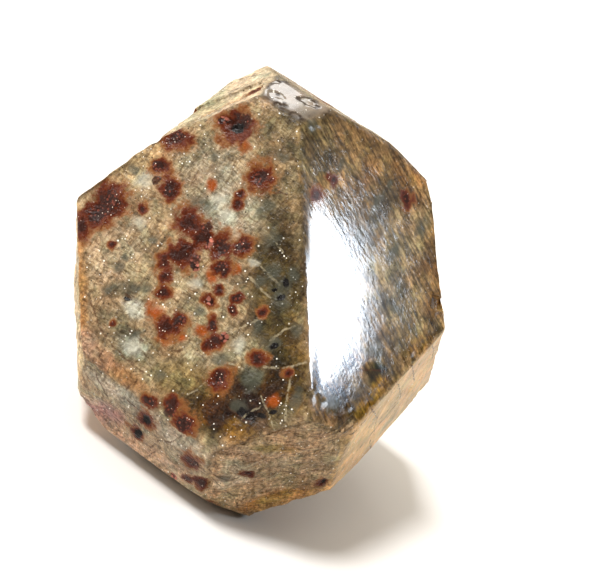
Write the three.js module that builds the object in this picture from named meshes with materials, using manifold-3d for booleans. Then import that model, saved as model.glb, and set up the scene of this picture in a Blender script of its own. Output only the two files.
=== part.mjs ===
// A loose zircon crystal: a stout four-sided prism with pyramid ends, its corners broken away,
// lying on the slanting break that cuts off its lower end. Millimetres.
// The crystal is laid out about its own centre with c, its long axis, along z and its two equal
// axes along x and y. Two nested groups then tip it onto the break and turn its best side forward.

import * as THREE from "three";
import { ConvexGeometry } from "three/addons/geometries/ConvexGeometry.js";
import { mergeVertices } from "three/addons/utils/BufferGeometryUtils.js";
import Module from "manifold-3d";

const wasm = await Module();
wasm.setup();

// Zircon's axial ratio c:a, which fixes the slope of every pyramid face.
const AXIAL_RATIO = 0.9054;

// How far the crystal leans over when it lies on its break, and how far it is then turned round.
const LEAN = THREE.MathUtils.degToRad(30.7);
const TURN = THREE.MathUtils.degToRad(-106.2);

// Flat grown faces, by Miller indices, and how far each stands from the crystal's centre.
const GROWN = {
  pyramidLeft: { indices: [1, 0, 1], distance: 22.0 },
  pyramidRight: { indices: [0, 1, 1], distance: 20.74 },
  pyramidUpper: { indices: [0, -1, 1], distance: 24.93 },
  pyramidBack: { indices: [-1, 0, 1], distance: 22.78 },
  tipFlat: { indices: [-1, 0, 5], distance: 27.74 },
  tipShoulder: { indices: [-2, 0, 1], distance: 18.59 },
  prismLeft: { indices: [1, 0, 0], distance: 24.66 },
  prismRight: { indices: [0, 1, 0], distance: 19.82 },
  prismBack: { indices: [-1, 0, 0], distance: 10.99 },
  cornerBack: { indices: [-1, -1, 0], distance: 11.68 },
  underLeft: { indices: [1, 0, -1], distance: 17.42 },
  underRight: { indices: [0, 1, -1], distance: 14.99 },
  underFar: { indices: [0, -1, -1], distance: 18.4 },
  underBack: { indices: [-1, 0, -1], distance: 20.0 },
};

// Breaks that took corners off, by the direction that each faces.
const BROKEN = {
  cornerFront: { facing: [1, 1, 0], distance: 25.12 },
  sideLeft: { facing: [0.68, -0.731, -0.056], distance: 21.28 },
  sideRight: { facing: [-0.671, 0.724, 0.161], distance: 17.89 },
  chinRight: { facing: [0.232, 0.714, -0.661], distance: 18.26 },
  chinLeft: { facing: [0.5, -0.421, -0.757], distance: 14.4 },
  restingBreak: { facing: [Math.sin(LEAN), 0, -Math.cos(LEAN)], distance: 15.2 },
};

// The far side ends in a grown face, except for a block beside it that stands prouder and is
// bounded by a break of its own. What is missing there reaches well past the crystal.
const FAR_FACE = { indices: [0, -1, 0], distance: 12.32 };
const BLOCK_FACE = { facing: [-0.489, -0.872, 0], distance: 6.78 };
const WEDGE_REACH = 60;

// Length of the facets that a surface is divided into, on flat faces and on rough ones.
const FLAT_FACET = 4.5;
const ROUGH_FACET = 2.5;
// A facet in a pit or on a lump is this share of its radius, as far out as this many radii.
const PIT_FACET = 0.7;
const PIT_SURROUND = 1.25;
// An edge of the flat-faced crystal is halved at most this many times.
const DIVISIONS = 7;
// A rough break takes in whatever lies this close to its plane.
const BREAK_SKIN = 0.5;
// Relief dies away over this height above the resting break, so that the break stays flat.
const REST_FADE = 1.2;

// Lumps on an uneven break come in two layers: the share of the height that each layer has, and
// how wide a fine lump is beside a coarse one.
const COARSE_SHARE = 0.7;
const FINE_SHARE = 0.3;
const FINE_WIDTH = 0.4;

// Uneven breaks: how high their lumps stand, and how wide the coarse ones are.
const UNEVEN = [
  { face: "cornerFront", height: 0.55, width: 3.4 },
  { face: "sideLeft", height: 0.35, width: 4.0 },
  { face: "sideRight", height: 0.3, width: 3.0 },
  { face: "chinRight", height: 0.45, width: 3.0 },
  { face: "chinLeft", height: 0.35, width: 3.5 },
  { face: "block", height: 0.5, width: 2.6 },
  { face: "far", height: 0.3, width: 4.5 },
  { face: "cornerBack", height: 0.5, width: 3.6 },
  { face: "prismBack", height: 0.3, width: 5.0 },
  { face: "underFar", height: 0.4, width: 4.2 },
  { face: "underBack", height: 0.35, width: 4.6 },
];

// Pits (depth above zero) and lumps (below zero). A place on a face is given by how far it lies
// across the face, level with the base, and how far up it, from the foot of the centre line.
const PITS = [
  { face: "pyramidLeft", at: [-5.8, 14.6], radius: 2.1, depth: 0.6 },
  { face: "pyramidLeft", at: [-10.7, 10.2], radius: 1.5, depth: 0.35 },
  { face: "pyramidLeft", at: [-1.0, 11.8], radius: 1.3, depth: 0.35 },
  { face: "pyramidLeft", at: [-13.4, 0.4], radius: 1.7, depth: 0.4 },
  { face: "pyramidLeft", at: [-12.0, 2.4], radius: 1.3, depth: -0.3 },
  { face: "pyramidLeft", at: [-12.9, 5.2], radius: 1.8, depth: 0.45 },
  { face: "pyramidLeft", at: [-9.9, 7.0], radius: 1.2, depth: 0.3 },
  { face: "pyramidLeft", at: [-0.3, 3.8], radius: 1.2, depth: 0.3 },
  { face: "pyramidLeft", at: [1.1, 5.2], radius: 1.0, depth: 0.3 },
  { face: "pyramidLeft", at: [-1.8, 1.3], radius: 1.0, depth: -0.2 },
  { face: "pyramidLeft", at: [-5.6, -5.5], radius: 1.3, depth: 0.6 },
  { face: "pyramidLeft", at: [-2.9, -8.8], radius: 1.6, depth: 0.3 },
  { face: "pyramidLeft", at: [4.8, -3.4], radius: 1.0, depth: -0.2 },
  { face: "pyramidLeft", at: [6.9, -6.8], radius: 1.1, depth: 0.3 },
  { face: "pyramidLeft", at: [12.1, -7.6], radius: 1.3, depth: 0.7 },
  { face: "pyramidLeft", at: [10.4, -8.5], radius: 1.5, depth: 0.45 },
  { face: "pyramidLeft", at: [7.4, 3.4], radius: 1.4, depth: 0.25 },
  { face: "pyramidLeft", at: [4.9, -12.0], radius: 1.3, depth: -0.25 },
  { face: "prismLeft", at: [2.4, 5.0], radius: 0.9, depth: 0.6 },
  { face: "prismLeft", at: [1.8, 2.4], radius: 0.8, depth: 0.5 },
  { face: "prismLeft", at: [8.3, 3.4], radius: 1.0, depth: 0.35 },
  { face: "prismLeft", at: [-2.6, 1.2], radius: 2.2, depth: 0.35 },
  { face: "pyramidRight", at: [6.9, 5.7], radius: 1.1, depth: 0.3 },
  { face: "pyramidRight", at: [-2.1, 13.5], radius: 0.9, depth: 0.25 },
  { face: "pyramidRight", at: [-9.0, -5.2], radius: 1.3, depth: 0.3 },
  { face: "pyramidUpper", at: [-4.2, 12.4], radius: 0.9, depth: -0.6 },
  { face: "cornerFront", at: [-6.2, -1.6], radius: 1.5, depth: -0.6 },
  { face: "cornerFront", at: [-8.0, 5.4], radius: 1.6, depth: 0.4 },
  { face: "cornerFront", at: [2.4, 1.3], radius: 1.0, depth: 0.35 },
  { face: "cornerFront", at: [-2.2, 3.4], radius: 2.0, depth: 0.45 },
  { face: "prismRight", at: [-1.0, 3.0], radius: 1.2, depth: 0.3 },
  { face: "pyramidBack", at: [1.5, 12.0], radius: 1.6, depth: 0.45 },
  { face: "prismBack", at: [3.5, 4.0], radius: 2.2, depth: 0.6 },
  { face: "prismBack", at: [-5.5, -4.0], radius: 1.6, depth: 0.4 },
  { face: "far", at: [-2.5, 8.0], radius: 1.9, depth: 0.5 },
  { face: "far", at: [4.0, -2.0], radius: 1.5, depth: 0.4 },
  { face: "underFar", at: [4.0, 4.0], radius: 2.0, depth: 0.5 },
  { face: "underBack", at: [2.0, 2.0], radius: 1.9, depth: 0.45 },
];

// Flakes struck off: a slab as long, wide and deep as size says, laid on a face, turned in the
// face and tipped about its own length, takes away what it covers.
const FLAKES = [
  // The edge between the two front pyramid faces has lost a flake near the tip.
  { face: "pyramidLeft", at: [4.3, 14.6], turn: 126, tip: -24, size: [8.4, 2.6], depth: 0.28 },
  // Layers of the upper face end one below another, in steps along the ridge.
  { face: "pyramidUpper", at: [4.2, 8.2], turn: -52, tip: 0, size: [15.0, 3.4], depth: 0.22 },
  { face: "pyramidUpper", at: [3.6, 6.4], turn: -55, tip: 0, size: [16.5, 3.2], depth: 0.45 },
  // The slot and the step at the lowest corner of the front break.
  { face: "cornerFront", at: [-7.4, -1.4], turn: -54.8, tip: 0, size: [5.2, 1.2], depth: 1.1 },
  { face: "cornerFront", at: [-10.5, 1.0], turn: -62, tip: 16, size: [5.4, 2.4], depth: 0.5 },
  // Nicks in the right outline and in the edge under the right pyramid face.
  { face: "pyramidRight", at: [3.6, -5.2], turn: -47, tip: 0, size: [2.2, 1.6], depth: 0.8 },
  { face: "pyramidRight", at: [10.5, 4.4], turn: 70, tip: 0, size: [2.4, 1.2], depth: 0.6 },
  { face: "pyramidRight", at: [-15.0, -7.4], turn: 0, tip: -30, size: [3.2, 1.5], depth: 0.3 },
  // Flakes off the edges of the far side.
  { face: "pyramidBack", at: [-4.5, 6.0], turn: 90, tip: 18, size: [5.0, 2.0], depth: 0.35 },
  { face: "prismBack", at: [7.0, -2.5], turn: 90, tip: 25, size: [6.5, 2.4], depth: 0.5 },
  { face: "far", at: [-8.0, 2.0], turn: 84, tip: -22, size: [7.0, 2.2], depth: 0.5 },
  { face: "underFar", at: [-4.0, -3.0], turn: 12, tip: 12, size: [5.5, 2.6], depth: 0.5 },
];
// A flake's slab reaches this far out of the crystal.
const FLAKE_REACH = 4.0;

// The plane that a face lies in: its unit normal, its distance and two directions along it.
function facePlane(face) {
  const normal = face.indices
    ? new THREE.Vector3(face.indices[0], face.indices[1], face.indices[2] / AXIAL_RATIO)
    : new THREE.Vector3(...face.facing);
  normal.normalize();
  const across = new THREE.Vector3(0, 0, 1).cross(normal).normalize();
  const up = normal.clone().cross(across);
  return { normal, across, up, distance: face.distance };
}

const planes = {};
for (const [name, face] of Object.entries({ ...GROWN, ...BROKEN })) planes[name] = facePlane(face);
planes.far = facePlane(FAR_FACE);
planes.block = facePlane(BLOCK_FACE);

// The point of a face at a place given across and up it.
function pointOn(plane, [across, up]) {
  return plane.normal
    .clone()
    .multiplyScalar(plane.distance)
    .addScaledVector(plane.across, across)
    .addScaledVector(plane.up, up);
}

// Corners of the space behind all the given planes: each triple of planes that meets in a point
// gives a corner if no other plane cuts the point off.
function cornersBehind(list) {
  const slack = 1e-6;
  const corners = [];
  const matrix = new THREE.Matrix3();
  for (let i = 0; i < list.length; i++) {
    for (let j = i + 1; j < list.length; j++) {
      for (let k = j + 1; k < list.length; k++) {
        const [a, b, c] = [list[i], list[j], list[k]];
        matrix.set(
          ...a.normal.toArray(),
          ...b.normal.toArray(),
          ...c.normal.toArray(),
        );
        if (Math.abs(matrix.determinant()) < slack) continue;
        const point = new THREE.Vector3(a.distance, b.distance, c.distance);
        point.applyMatrix3(matrix.invert());
        if (list.every((p) => p.normal.dot(point) <= p.distance + slack)) corners.push(point);
      }
    }
  }
  return corners;
}

// A geometry with one vertex to a place, as joining and cutting need.
function mergedGeometry(geometry) {
  const bare = geometry.clone();
  bare.deleteAttribute("normal");
  bare.deleteAttribute("uv");
  return mergeVertices(bare, 1e-4);
}

function solidOf(geometry) {
  const merged = mergedGeometry(geometry);
  const mesh = new wasm.Mesh({
    numProp: 3,
    vertProperties: new Float32Array(merged.attributes.position.array),
    triVerts: new Uint32Array(merged.index.array),
  });
  return new wasm.Manifold(mesh);
}

function geometryOf(solid) {
  const mesh = solid.getMesh();
  const geometry = new THREE.BufferGeometry();
  geometry.setAttribute("position", new THREE.BufferAttribute(mesh.vertProperties, 3));
  geometry.setIndex(new THREE.BufferAttribute(mesh.triVerts, 1));
  return geometry;
}

// The facet length wanted round a point: short on uneven breaks and round pits.
function facetLength(point) {
  let length = FLAT_FACET;
  for (const { face } of UNEVEN) {
    const plane = planes[face];
    const near = Math.abs(plane.distance - plane.normal.dot(point)) < BREAK_SKIN;
    if (near) length = Math.min(length, ROUGH_FACET);
  }
  for (const pit of PITS) {
    const gone = pointOn(planes[pit.face], pit.at).distanceTo(point);
    if (gone < PIT_SURROUND * pit.radius) length = Math.min(length, PIT_FACET * pit.radius);
  }
  return length;
}

// The edge middles at which a triangle is divided, if its edges are longer than wanted there.
// Both triangles at an edge get the same middle, so the surface stays closed.
function middleFinder(points) {
  const middles = new Map();
  return (a, b) => {
    const key = a < b ? `${a},${b}` : `${b},${a}`;
    if (!middles.has(key)) {
      const middle = points[a].clone().add(points[b]).multiplyScalar(0.5);
      const long = points[a].distanceTo(points[b]) > facetLength(middle);
      middles.set(key, long ? points.push(middle) - 1 : null);
    }
    return middles.get(key);
  };
}

// The triangles that one triangle is divided into, by how many of its edges have a middle.
function piecesOf([a, b, c], middleOf, points) {
  const turns = [
    [a, b, c],
    [b, c, a],
    [c, a, b],
  ];
  const split = turns.filter(([p, q]) => middleOf(p, q) !== null);
  if (split.length === 0) return [[a, b, c]];
  if (split.length === 3) {
    const [ab, bc, ca] = [middleOf(a, b), middleOf(b, c), middleOf(c, a)];
    return [
      [a, ab, ca],
      [ab, b, bc],
      [ca, bc, c],
      [ab, bc, ca],
    ];
  }
  if (split.length === 1) {
    const [p, q, r] = split[0];
    const m = middleOf(p, q);
    return [
      [p, m, r],
      [m, q, r],
    ];
  }
  const [p, q, r] = turns.find(([s, t]) => middleOf(s, t) === null);
  const m = middleOf(q, r);
  const n = middleOf(r, p);
  const shorter = points[p].distanceTo(points[m]) < points[q].distanceTo(points[n]);
  const rest = shorter
    ? [
        [p, q, m],
        [p, m, n],
      ]
    : [
        [p, q, n],
        [q, m, n],
      ];
  return [[m, r, n], ...rest];
}

// The surface as points and triangles, divided until every edge is short enough.
function dividedSurface(geometry) {
  const source = mergedGeometry(geometry);
  const position = source.attributes.position;
  const points = [];
  for (let i = 0; i < position.count; i++) {
    points.push(new THREE.Vector3().fromBufferAttribute(position, i));
  }
  let triangles = [];
  for (let i = 0; i < source.index.count; i += 3) {
    triangles.push([source.index.getX(i), source.index.getX(i + 1), source.index.getX(i + 2)]);
  }
  for (let round = 0; round < DIVISIONS; round++) {
    const middleOf = middleFinder(points);
    triangles = triangles.flatMap((triangle) => piecesOf(triangle, middleOf, points));
  }
  return { points, triangles };
}

// A steady pseudo-random number from 0 to 1 for a cell of a unit grid.
function cellValue(x, y, z) {
  let mixed = Math.imul(x, 374761393) ^ Math.imul(y, 668265263) ^ Math.imul(z, 1442695041);
  mixed = Math.imul(mixed ^ (mixed >>> 13), 1274126177);
  return ((mixed ^ (mixed >>> 16)) >>> 0) / 4294967296;
}

// Smooth noise from 0 to 1, whose lumps are one unit wide.
function noise(point) {
  const cell = point.clone().floor();
  const part = point.clone().sub(cell);
  const weight = (corner, along) => {
    const eased = THREE.MathUtils.smoothstep(along, 0, 1);
    return corner ? eased : 1 - eased;
  };
  let sum = 0;
  for (let corner = 0; corner < 8; corner++) {
    const [i, j, k] = [corner & 1, (corner >> 1) & 1, corner >> 2];
    const value = cellValue(cell.x + i, cell.y + j, cell.z + k);
    sum += value * weight(i, part.x) * weight(j, part.y) * weight(k, part.z);
  }
  return sum;
}

// How far a point of the flat-faced surface moves to give the breaks, pits and lumps.
function relief(point) {
  const move = new THREE.Vector3();
  for (const { face, height, width } of UNEVEN) {
    const { normal, distance } = planes[face];
    const gone = Math.abs(distance - normal.dot(point));
    const share = 1 - THREE.MathUtils.smoothstep(gone, 0, BREAK_SKIN);
    if (share === 0) continue;
    const coarse = noise(point.clone().divideScalar(width));
    const fine = noise(point.clone().divideScalar(FINE_WIDTH * width));
    const lump = COARSE_SHARE * coarse + FINE_SHARE * fine;
    move.addScaledVector(normal, -height * share * lump);
  }
  for (const { face, at, radius, depth } of PITS) {
    const gone = pointOn(planes[face], at).distanceTo(point) / radius;
    if (gone < 1) move.addScaledVector(planes[face].normal, -depth * (1 - gone * gone) ** 2);
  }
  const { normal, distance } = planes.restingBreak;
  const above = distance - normal.dot(point);
  return move.multiplyScalar(THREE.MathUtils.smoothstep(above, 0, REST_FADE));
}

// The slab that strikes a flake off.
function flakeSlab({ face, at, turn, tip, size, depth }) {
  const plane = planes[face];
  const [length, width] = size;
  const slab = new THREE.BoxGeometry(length, width, FLAKE_REACH);
  slab.translate(0, 0, 0.5 * FLAKE_REACH - depth);
  slab.rotateX(THREE.MathUtils.degToRad(tip));
  slab.rotateZ(THREE.MathUtils.degToRad(turn));
  slab.applyMatrix4(new THREE.Matrix4().makeBasis(plane.across, plane.up, plane.normal));
  slab.translate(...pointOn(plane, at).toArray());
  return solidOf(slab);
}

// A plane that faces the other way, so that what lies beyond the first lies behind it.
function reversed(plane) {
  return { normal: plane.normal.clone().negate(), distance: -plane.distance };
}

// The piece missing between the far face and the block: all that lies beyond both of them.
function missingWedge() {
  const outer = [];
  for (const axis of [new THREE.Vector3(1, 0, 0), new THREE.Vector3(0, 1, 0), new THREE.Vector3(0, 0, 1)]) {
    outer.push({ normal: axis, distance: WEDGE_REACH });
    outer.push({ normal: axis.clone().negate(), distance: WEDGE_REACH });
  }
  const sides = [reversed(planes.far), reversed(planes.block), ...outer];
  return solidOf(new ConvexGeometry(cornersBehind(sides)));
}

// The crystal with its flat faces, less the missing wedge and the flakes struck off it.
function flatFacedBody() {
  const { far, block, ...outside } = planes;
  const grown = solidOf(new ConvexGeometry(cornersBehind(Object.values(outside))));
  const losses = [missingWedge(), ...FLAKES.map(flakeSlab)];
  return losses.reduce((body, loss) => body.subtract(loss), grown);
}

// The whole crystal: its flat-faced body, divided and given its relief.
function crystalGeometry() {
  const { points, triangles } = dividedSurface(geometryOf(flatFacedBody()));
  const geometry = new THREE.BufferGeometry();
  geometry.setFromPoints(points.map((point) => point.clone().add(relief(point))));
  geometry.setIndex(triangles.flat());
  geometry.computeVertexNormals();
  return geometry;
}

const zirconStone = new THREE.MeshStandardMaterial({
  name: "zircon_stone",
  color: 0x8f8268,
  roughness: 0.28,
  metalness: 0,
  flatShading: true,
});

const crystal = new THREE.Mesh(crystalGeometry(), zirconStone);
crystal.name = "zircon_crystal";

const leaning = new THREE.Group();
leaning.rotation.y = LEAN;
leaning.add(crystal);

const turned = new THREE.Group();
turned.rotation.z = TURN;
turned.add(leaning);

const part = new THREE.Group();
part.name = "zircon";
part.add(turned);
part.updateMatrixWorld(true);

// Sets the crystal down on its break, with the middle of its plan at the origin.
const middle = new THREE.Box3().setFromObject(turned, true).getCenter(new THREE.Vector3());
turned.position.set(-middle.x, -middle.y, planes.restingBreak.distance);

export default part;
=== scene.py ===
"""A loose zircon crystal on a pale floor: the form, the finish and the light of one specimen."""

import logging
import math
from dataclasses import dataclass, field
from enum import Enum
from functools import cached_property

import bmesh
import bpy
import numpy as np
from mathutils import Matrix, Vector
from mathutils.geometry import delaunay_2d_cdt


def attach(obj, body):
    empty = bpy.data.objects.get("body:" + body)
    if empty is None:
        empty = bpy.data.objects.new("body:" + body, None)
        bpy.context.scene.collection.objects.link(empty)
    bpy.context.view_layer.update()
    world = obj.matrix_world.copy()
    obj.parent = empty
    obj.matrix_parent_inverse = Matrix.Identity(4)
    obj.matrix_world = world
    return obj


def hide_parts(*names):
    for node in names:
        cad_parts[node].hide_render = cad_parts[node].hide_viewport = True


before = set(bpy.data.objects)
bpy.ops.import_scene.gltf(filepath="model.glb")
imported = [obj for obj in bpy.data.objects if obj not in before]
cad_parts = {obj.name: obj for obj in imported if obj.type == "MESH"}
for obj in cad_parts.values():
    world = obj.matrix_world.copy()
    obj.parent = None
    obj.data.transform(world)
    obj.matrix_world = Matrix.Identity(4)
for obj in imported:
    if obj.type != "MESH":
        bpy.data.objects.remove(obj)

log = logging.getLogger("zircon")

# A node's socket, and what can be fed into one.
Socket = bpy.types.NodeSocket
Source = Socket | float | tuple[float, ...]
# A place on a side in mm, or in the photo in pixels, and a line through such places.
Place = tuple[float, float]
Path = tuple[Place, ...]
# A colour in screen values from 0 to 255, and three numbers of any other kind.
Colour = tuple[int, int, int]
Triple = tuple[float, float, float]

# One millimetre, in metres.
MM = 0.001
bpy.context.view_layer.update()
# Distance between the mesh points of a plain face, and of one that is seen closely, in mm.
COARSE = 0.36
FINE = 0.21
# Zircon's axial ratio c:a, which fixes the slope of every pyramid face.
AXIAL_RATIO = 0.9054
# How far the long axis leans over where the crystal lies on its break.
LEAN = math.radians(30.7)


# The form


class Side(Enum):
    """The flat sides of the crystal, grown faces first and then breaks."""

    PYRAMID_LEFT = "large front pyramid face on the left"
    PYRAMID_RIGHT = "large front pyramid face on the right"
    PYRAMID_UPPER = "narrow pyramid face along the upper left"
    PYRAMID_BACK = "pyramid face on the far right"
    TIP_FLAT = "small shiny face at the tip"
    TIP_SHOULDER = "bevel behind the right pyramid face"
    PRISM_LEFT = "prism strip under the left pyramid face"
    PRISM_RIGHT = "prism strip under the right pyramid face"
    PRISM_BACK = "prism face at the back"
    CORNER_BACK = "back corner"
    UNDER_LEFT = "lower pyramid face on the left"
    UNDER_RIGHT = "lower pyramid face on the right"
    UNDER_FAR = "lower pyramid face on the far side"
    UNDER_BACK = "lower pyramid face at the back"
    CORNER_FRONT = "broken front corner"
    SIDE_LEFT = "broken left side"
    SIDE_RIGHT = "broken right side"
    CHIN_RIGHT = "small break under the right strip"
    CHIN_LEFT = "small break under the left strip"
    RESTING = "break that the crystal lies on"
    FAR = "far face"
    BLOCK = "break on the block beside the far face"


@dataclass(frozen=True)
class Plane:
    """A flat side before its relief: where it stands and how finely it is meshed, in mm."""

    facing: Triple
    distance: float
    spacing: float = COARSE

    @property
    def normal(self) -> np.ndarray:
        """The unit normal, outward."""
        return np.array(self.facing) / np.linalg.norm(self.facing)

    @property
    def across(self) -> np.ndarray:
        """The level direction in the face."""
        level = np.cross((0.0, 0.0, 1.0), self.normal)
        return level / np.linalg.norm(level)

    @property
    def up(self) -> np.ndarray:
        """The direction up the face, square to the level one."""
        return np.cross(self.normal, self.across)

    def point(self, at: Place) -> np.ndarray:
        """The point at a place given across and up the face."""
        return self.normal * self.distance + self.across * at[0] + self.up * at[1]

    def gap(self, points: np.ndarray) -> np.ndarray:
        """How far each point lies behind the face, in mm."""
        return self.distance - points @ self.normal

    def flat(self, points: np.ndarray) -> np.ndarray:
        """Each point's place across and up the face, in mm."""
        return np.column_stack((points @ self.across, points @ self.up))


def grown(h: float, k: float, l: float, distance: float, spacing: float = COARSE) -> Plane:
    """A grown face from its Miller indices.

    Args:
        h: Index along the first equal axis.
        k: Index along the second equal axis.
        l: Index along the long axis.
        distance: Distance from the crystal's centre, in mm.
        spacing: Distance between mesh points, in mm.

    Returns:
        The plane of that face.
    """
    return Plane((h, k, l / AXIAL_RATIO), distance, spacing)


# Grown faces come from their indices and broken sides from the way they face.
PLANES: dict[Side, Plane] = {
    Side.PYRAMID_LEFT: grown(1, 0, 1, 22.0, FINE),
    Side.PYRAMID_RIGHT: grown(0, 1, 1, 20.74, FINE),
    Side.PYRAMID_UPPER: grown(0, -1, 1, 24.93, FINE),
    Side.PYRAMID_BACK: grown(-1, 0, 1, 22.78),
    Side.TIP_FLAT: grown(-1, 0, 5, 27.74, 0.17),
    Side.TIP_SHOULDER: grown(-2, 0, 1, 18.59),
    Side.PRISM_LEFT: grown(1, 0, 0, 24.66, FINE),
    Side.PRISM_RIGHT: grown(0, 1, 0, 19.82, FINE),
    Side.PRISM_BACK: grown(-1, 0, 0, 10.99),
    Side.CORNER_BACK: grown(-1, -1, 0, 11.68),
    Side.UNDER_LEFT: grown(1, 0, -1, 17.42),
    Side.UNDER_RIGHT: grown(0, 1, -1, 14.99),
    Side.UNDER_FAR: grown(0, -1, -1, 18.4),
    Side.UNDER_BACK: grown(-1, 0, -1, 20.0),
    Side.CORNER_FRONT: Plane((1, 1, 0), 25.12, FINE),
    Side.SIDE_LEFT: Plane((0.68, -0.731, -0.056), 21.28, 0.3),
    Side.SIDE_RIGHT: Plane((-0.671, 0.724, 0.161), 17.89, 0.3),
    Side.CHIN_RIGHT: Plane((0.232, 0.714, -0.661), 18.26, 0.3),
    Side.CHIN_LEFT: Plane((0.5, -0.421, -0.757), 14.4, 0.3),
    Side.RESTING: Plane((math.sin(LEAN), 0.0, -math.cos(LEAN)), 15.2, 0.5),
    Side.FAR: grown(0, -1, 0, 12.32),
    Side.BLOCK: Plane((-0.489, -0.872, 0), 6.78, 0.3),
}


@dataclass(frozen=True)
class Pit:
    """A round pit, or a lump where its depth is below zero, in mm."""

    at: Place
    radius: float
    depth: float


@dataclass(frozen=True)
class Flake:
    """A flake struck off by a slab laid on a face, turned in it and tipped, in mm and degrees."""

    at: Place
    turn: float
    tip: float
    size: tuple[float, float]
    depth: float


# The pits and lumps of each side.
PITS: dict[Side, tuple[Pit, ...]] = {
    Side.PYRAMID_LEFT: (
        Pit((-5.8, 14.6), 2.1, 0.6),
        Pit((-10.7, 10.2), 1.5, 0.35),
        Pit((-1.0, 11.8), 1.3, 0.35),
        Pit((-13.4, 0.4), 1.7, 0.4),
        Pit((-12.0, 2.4), 1.3, -0.3),
        Pit((-12.9, 5.2), 1.8, 0.45),
        Pit((-9.9, 7.0), 1.2, 0.3),
        Pit((-0.3, 3.8), 1.2, 0.3),
        Pit((1.1, 5.2), 1.0, 0.3),
        Pit((-1.8, 1.3), 1.0, -0.2),
        Pit((-5.6, -5.5), 1.3, 0.6),
        Pit((-2.9, -8.8), 1.6, 0.3),
        Pit((4.8, -3.4), 1.0, -0.2),
        Pit((6.9, -6.8), 1.1, 0.3),
        Pit((12.1, -7.6), 1.3, 0.7),
        Pit((10.4, -8.5), 1.5, 0.45),
        Pit((7.4, 3.4), 1.4, 0.25),
        Pit((4.9, -12.0), 1.3, -0.25),
    ),
    Side.PRISM_LEFT: (
        Pit((2.4, 5.0), 0.9, 0.6),
        Pit((1.8, 2.4), 0.8, 0.5),
        Pit((8.3, 3.4), 1.0, 0.35),
        Pit((-2.6, 1.2), 2.2, 0.35),
    ),
    Side.PYRAMID_RIGHT: (
        Pit((6.9, 5.7), 1.1, 0.3),
        Pit((-2.1, 13.5), 0.9, 0.25),
        Pit((-9.0, -5.2), 1.3, 0.3),
    ),
    Side.PYRAMID_UPPER: (Pit((-4.2, 12.4), 0.9, -0.6),),
    Side.CORNER_FRONT: (
        Pit((-6.2, -1.6), 1.5, -0.6),
        Pit((-8.0, 5.4), 1.6, 0.4),
        Pit((2.4, 1.3), 1.0, 0.35),
        Pit((-2.2, 3.4), 2.0, 0.45),
    ),
    Side.PRISM_RIGHT: (Pit((-1.0, 3.0), 1.2, 0.3),),
    Side.PYRAMID_BACK: (Pit((1.5, 12.0), 1.6, 0.45),),
    Side.PRISM_BACK: (
        Pit((3.5, 4.0), 2.2, 0.6),
        Pit((-5.5, -4.0), 1.6, 0.4),
    ),
    Side.FAR: (
        Pit((-2.5, 8.0), 1.9, 0.5),
        Pit((4.0, -2.0), 1.5, 0.4),
    ),
    Side.UNDER_FAR: (Pit((4.0, 4.0), 2.0, 0.5),),
    Side.UNDER_BACK: (Pit((2.0, 2.0), 1.9, 0.45),),
}

# The flakes struck off each side, in the order in which they are cut.
FLAKES: dict[Side, tuple[Flake, ...]] = {
    Side.PYRAMID_LEFT: (Flake((4.3, 14.6), 126, -24, (8.4, 2.6), 0.28),),
    Side.PYRAMID_UPPER: (
        Flake((4.2, 8.2), -52, 0, (15.0, 3.4), 0.22),
        Flake((3.6, 6.4), -55, 0, (16.5, 3.2), 0.45),
    ),
    Side.CORNER_FRONT: (
        Flake((-7.4, -1.4), -54.8, 0, (5.2, 1.2), 1.1),
        Flake((-10.5, 1.0), -62, 16, (5.4, 2.4), 0.5),
    ),
    Side.PYRAMID_RIGHT: (
        Flake((3.6, -5.2), -47, 0, (2.2, 1.6), 0.8),
        Flake((10.5, 4.4), 70, 0, (2.4, 1.2), 0.6),
        Flake((-15.0, -7.4), 0, -30, (3.2, 1.5), 0.3),
    ),
    Side.PYRAMID_BACK: (Flake((-4.5, 6.0), 90, 18, (5.0, 2.0), 0.35),),
    Side.PRISM_BACK: (Flake((7.0, -2.5), 90, 25, (6.5, 2.4), 0.5),),
    Side.FAR: (Flake((-8.0, 2.0), 84, -22, (7.0, 2.2), 0.5),),
    Side.UNDER_FAR: (Flake((-4.0, -3.0), 12, 12, (5.5, 2.6), 0.5),),
}

# Uneven sides: how high their lumps stand and how wide they are, in mm.
UNEVEN: dict[Side, tuple[float, float]] = {
    Side.CORNER_FRONT: (0.55, 3.4),
    Side.SIDE_LEFT: (0.35, 4.0),
    Side.SIDE_RIGHT: (0.3, 3.0),
    Side.CHIN_RIGHT: (0.45, 3.0),
    Side.CHIN_LEFT: (0.35, 3.5),
    Side.BLOCK: (0.5, 2.6),
    Side.FAR: (0.3, 4.5),
    Side.CORNER_BACK: (0.5, 3.6),
    Side.PRISM_BACK: (0.3, 5.0),
    Side.UNDER_FAR: (0.4, 4.2),
    Side.UNDER_BACK: (0.35, 4.6),
}


def smoothstep(value: np.ndarray, low: float, high: float) -> np.ndarray:
    """A soft step from 0 at low to 1 at high."""
    share = np.clip((value - low) / (high - low), 0.0, 1.0)
    return share * share * (3.0 - 2.0 * share)


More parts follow.
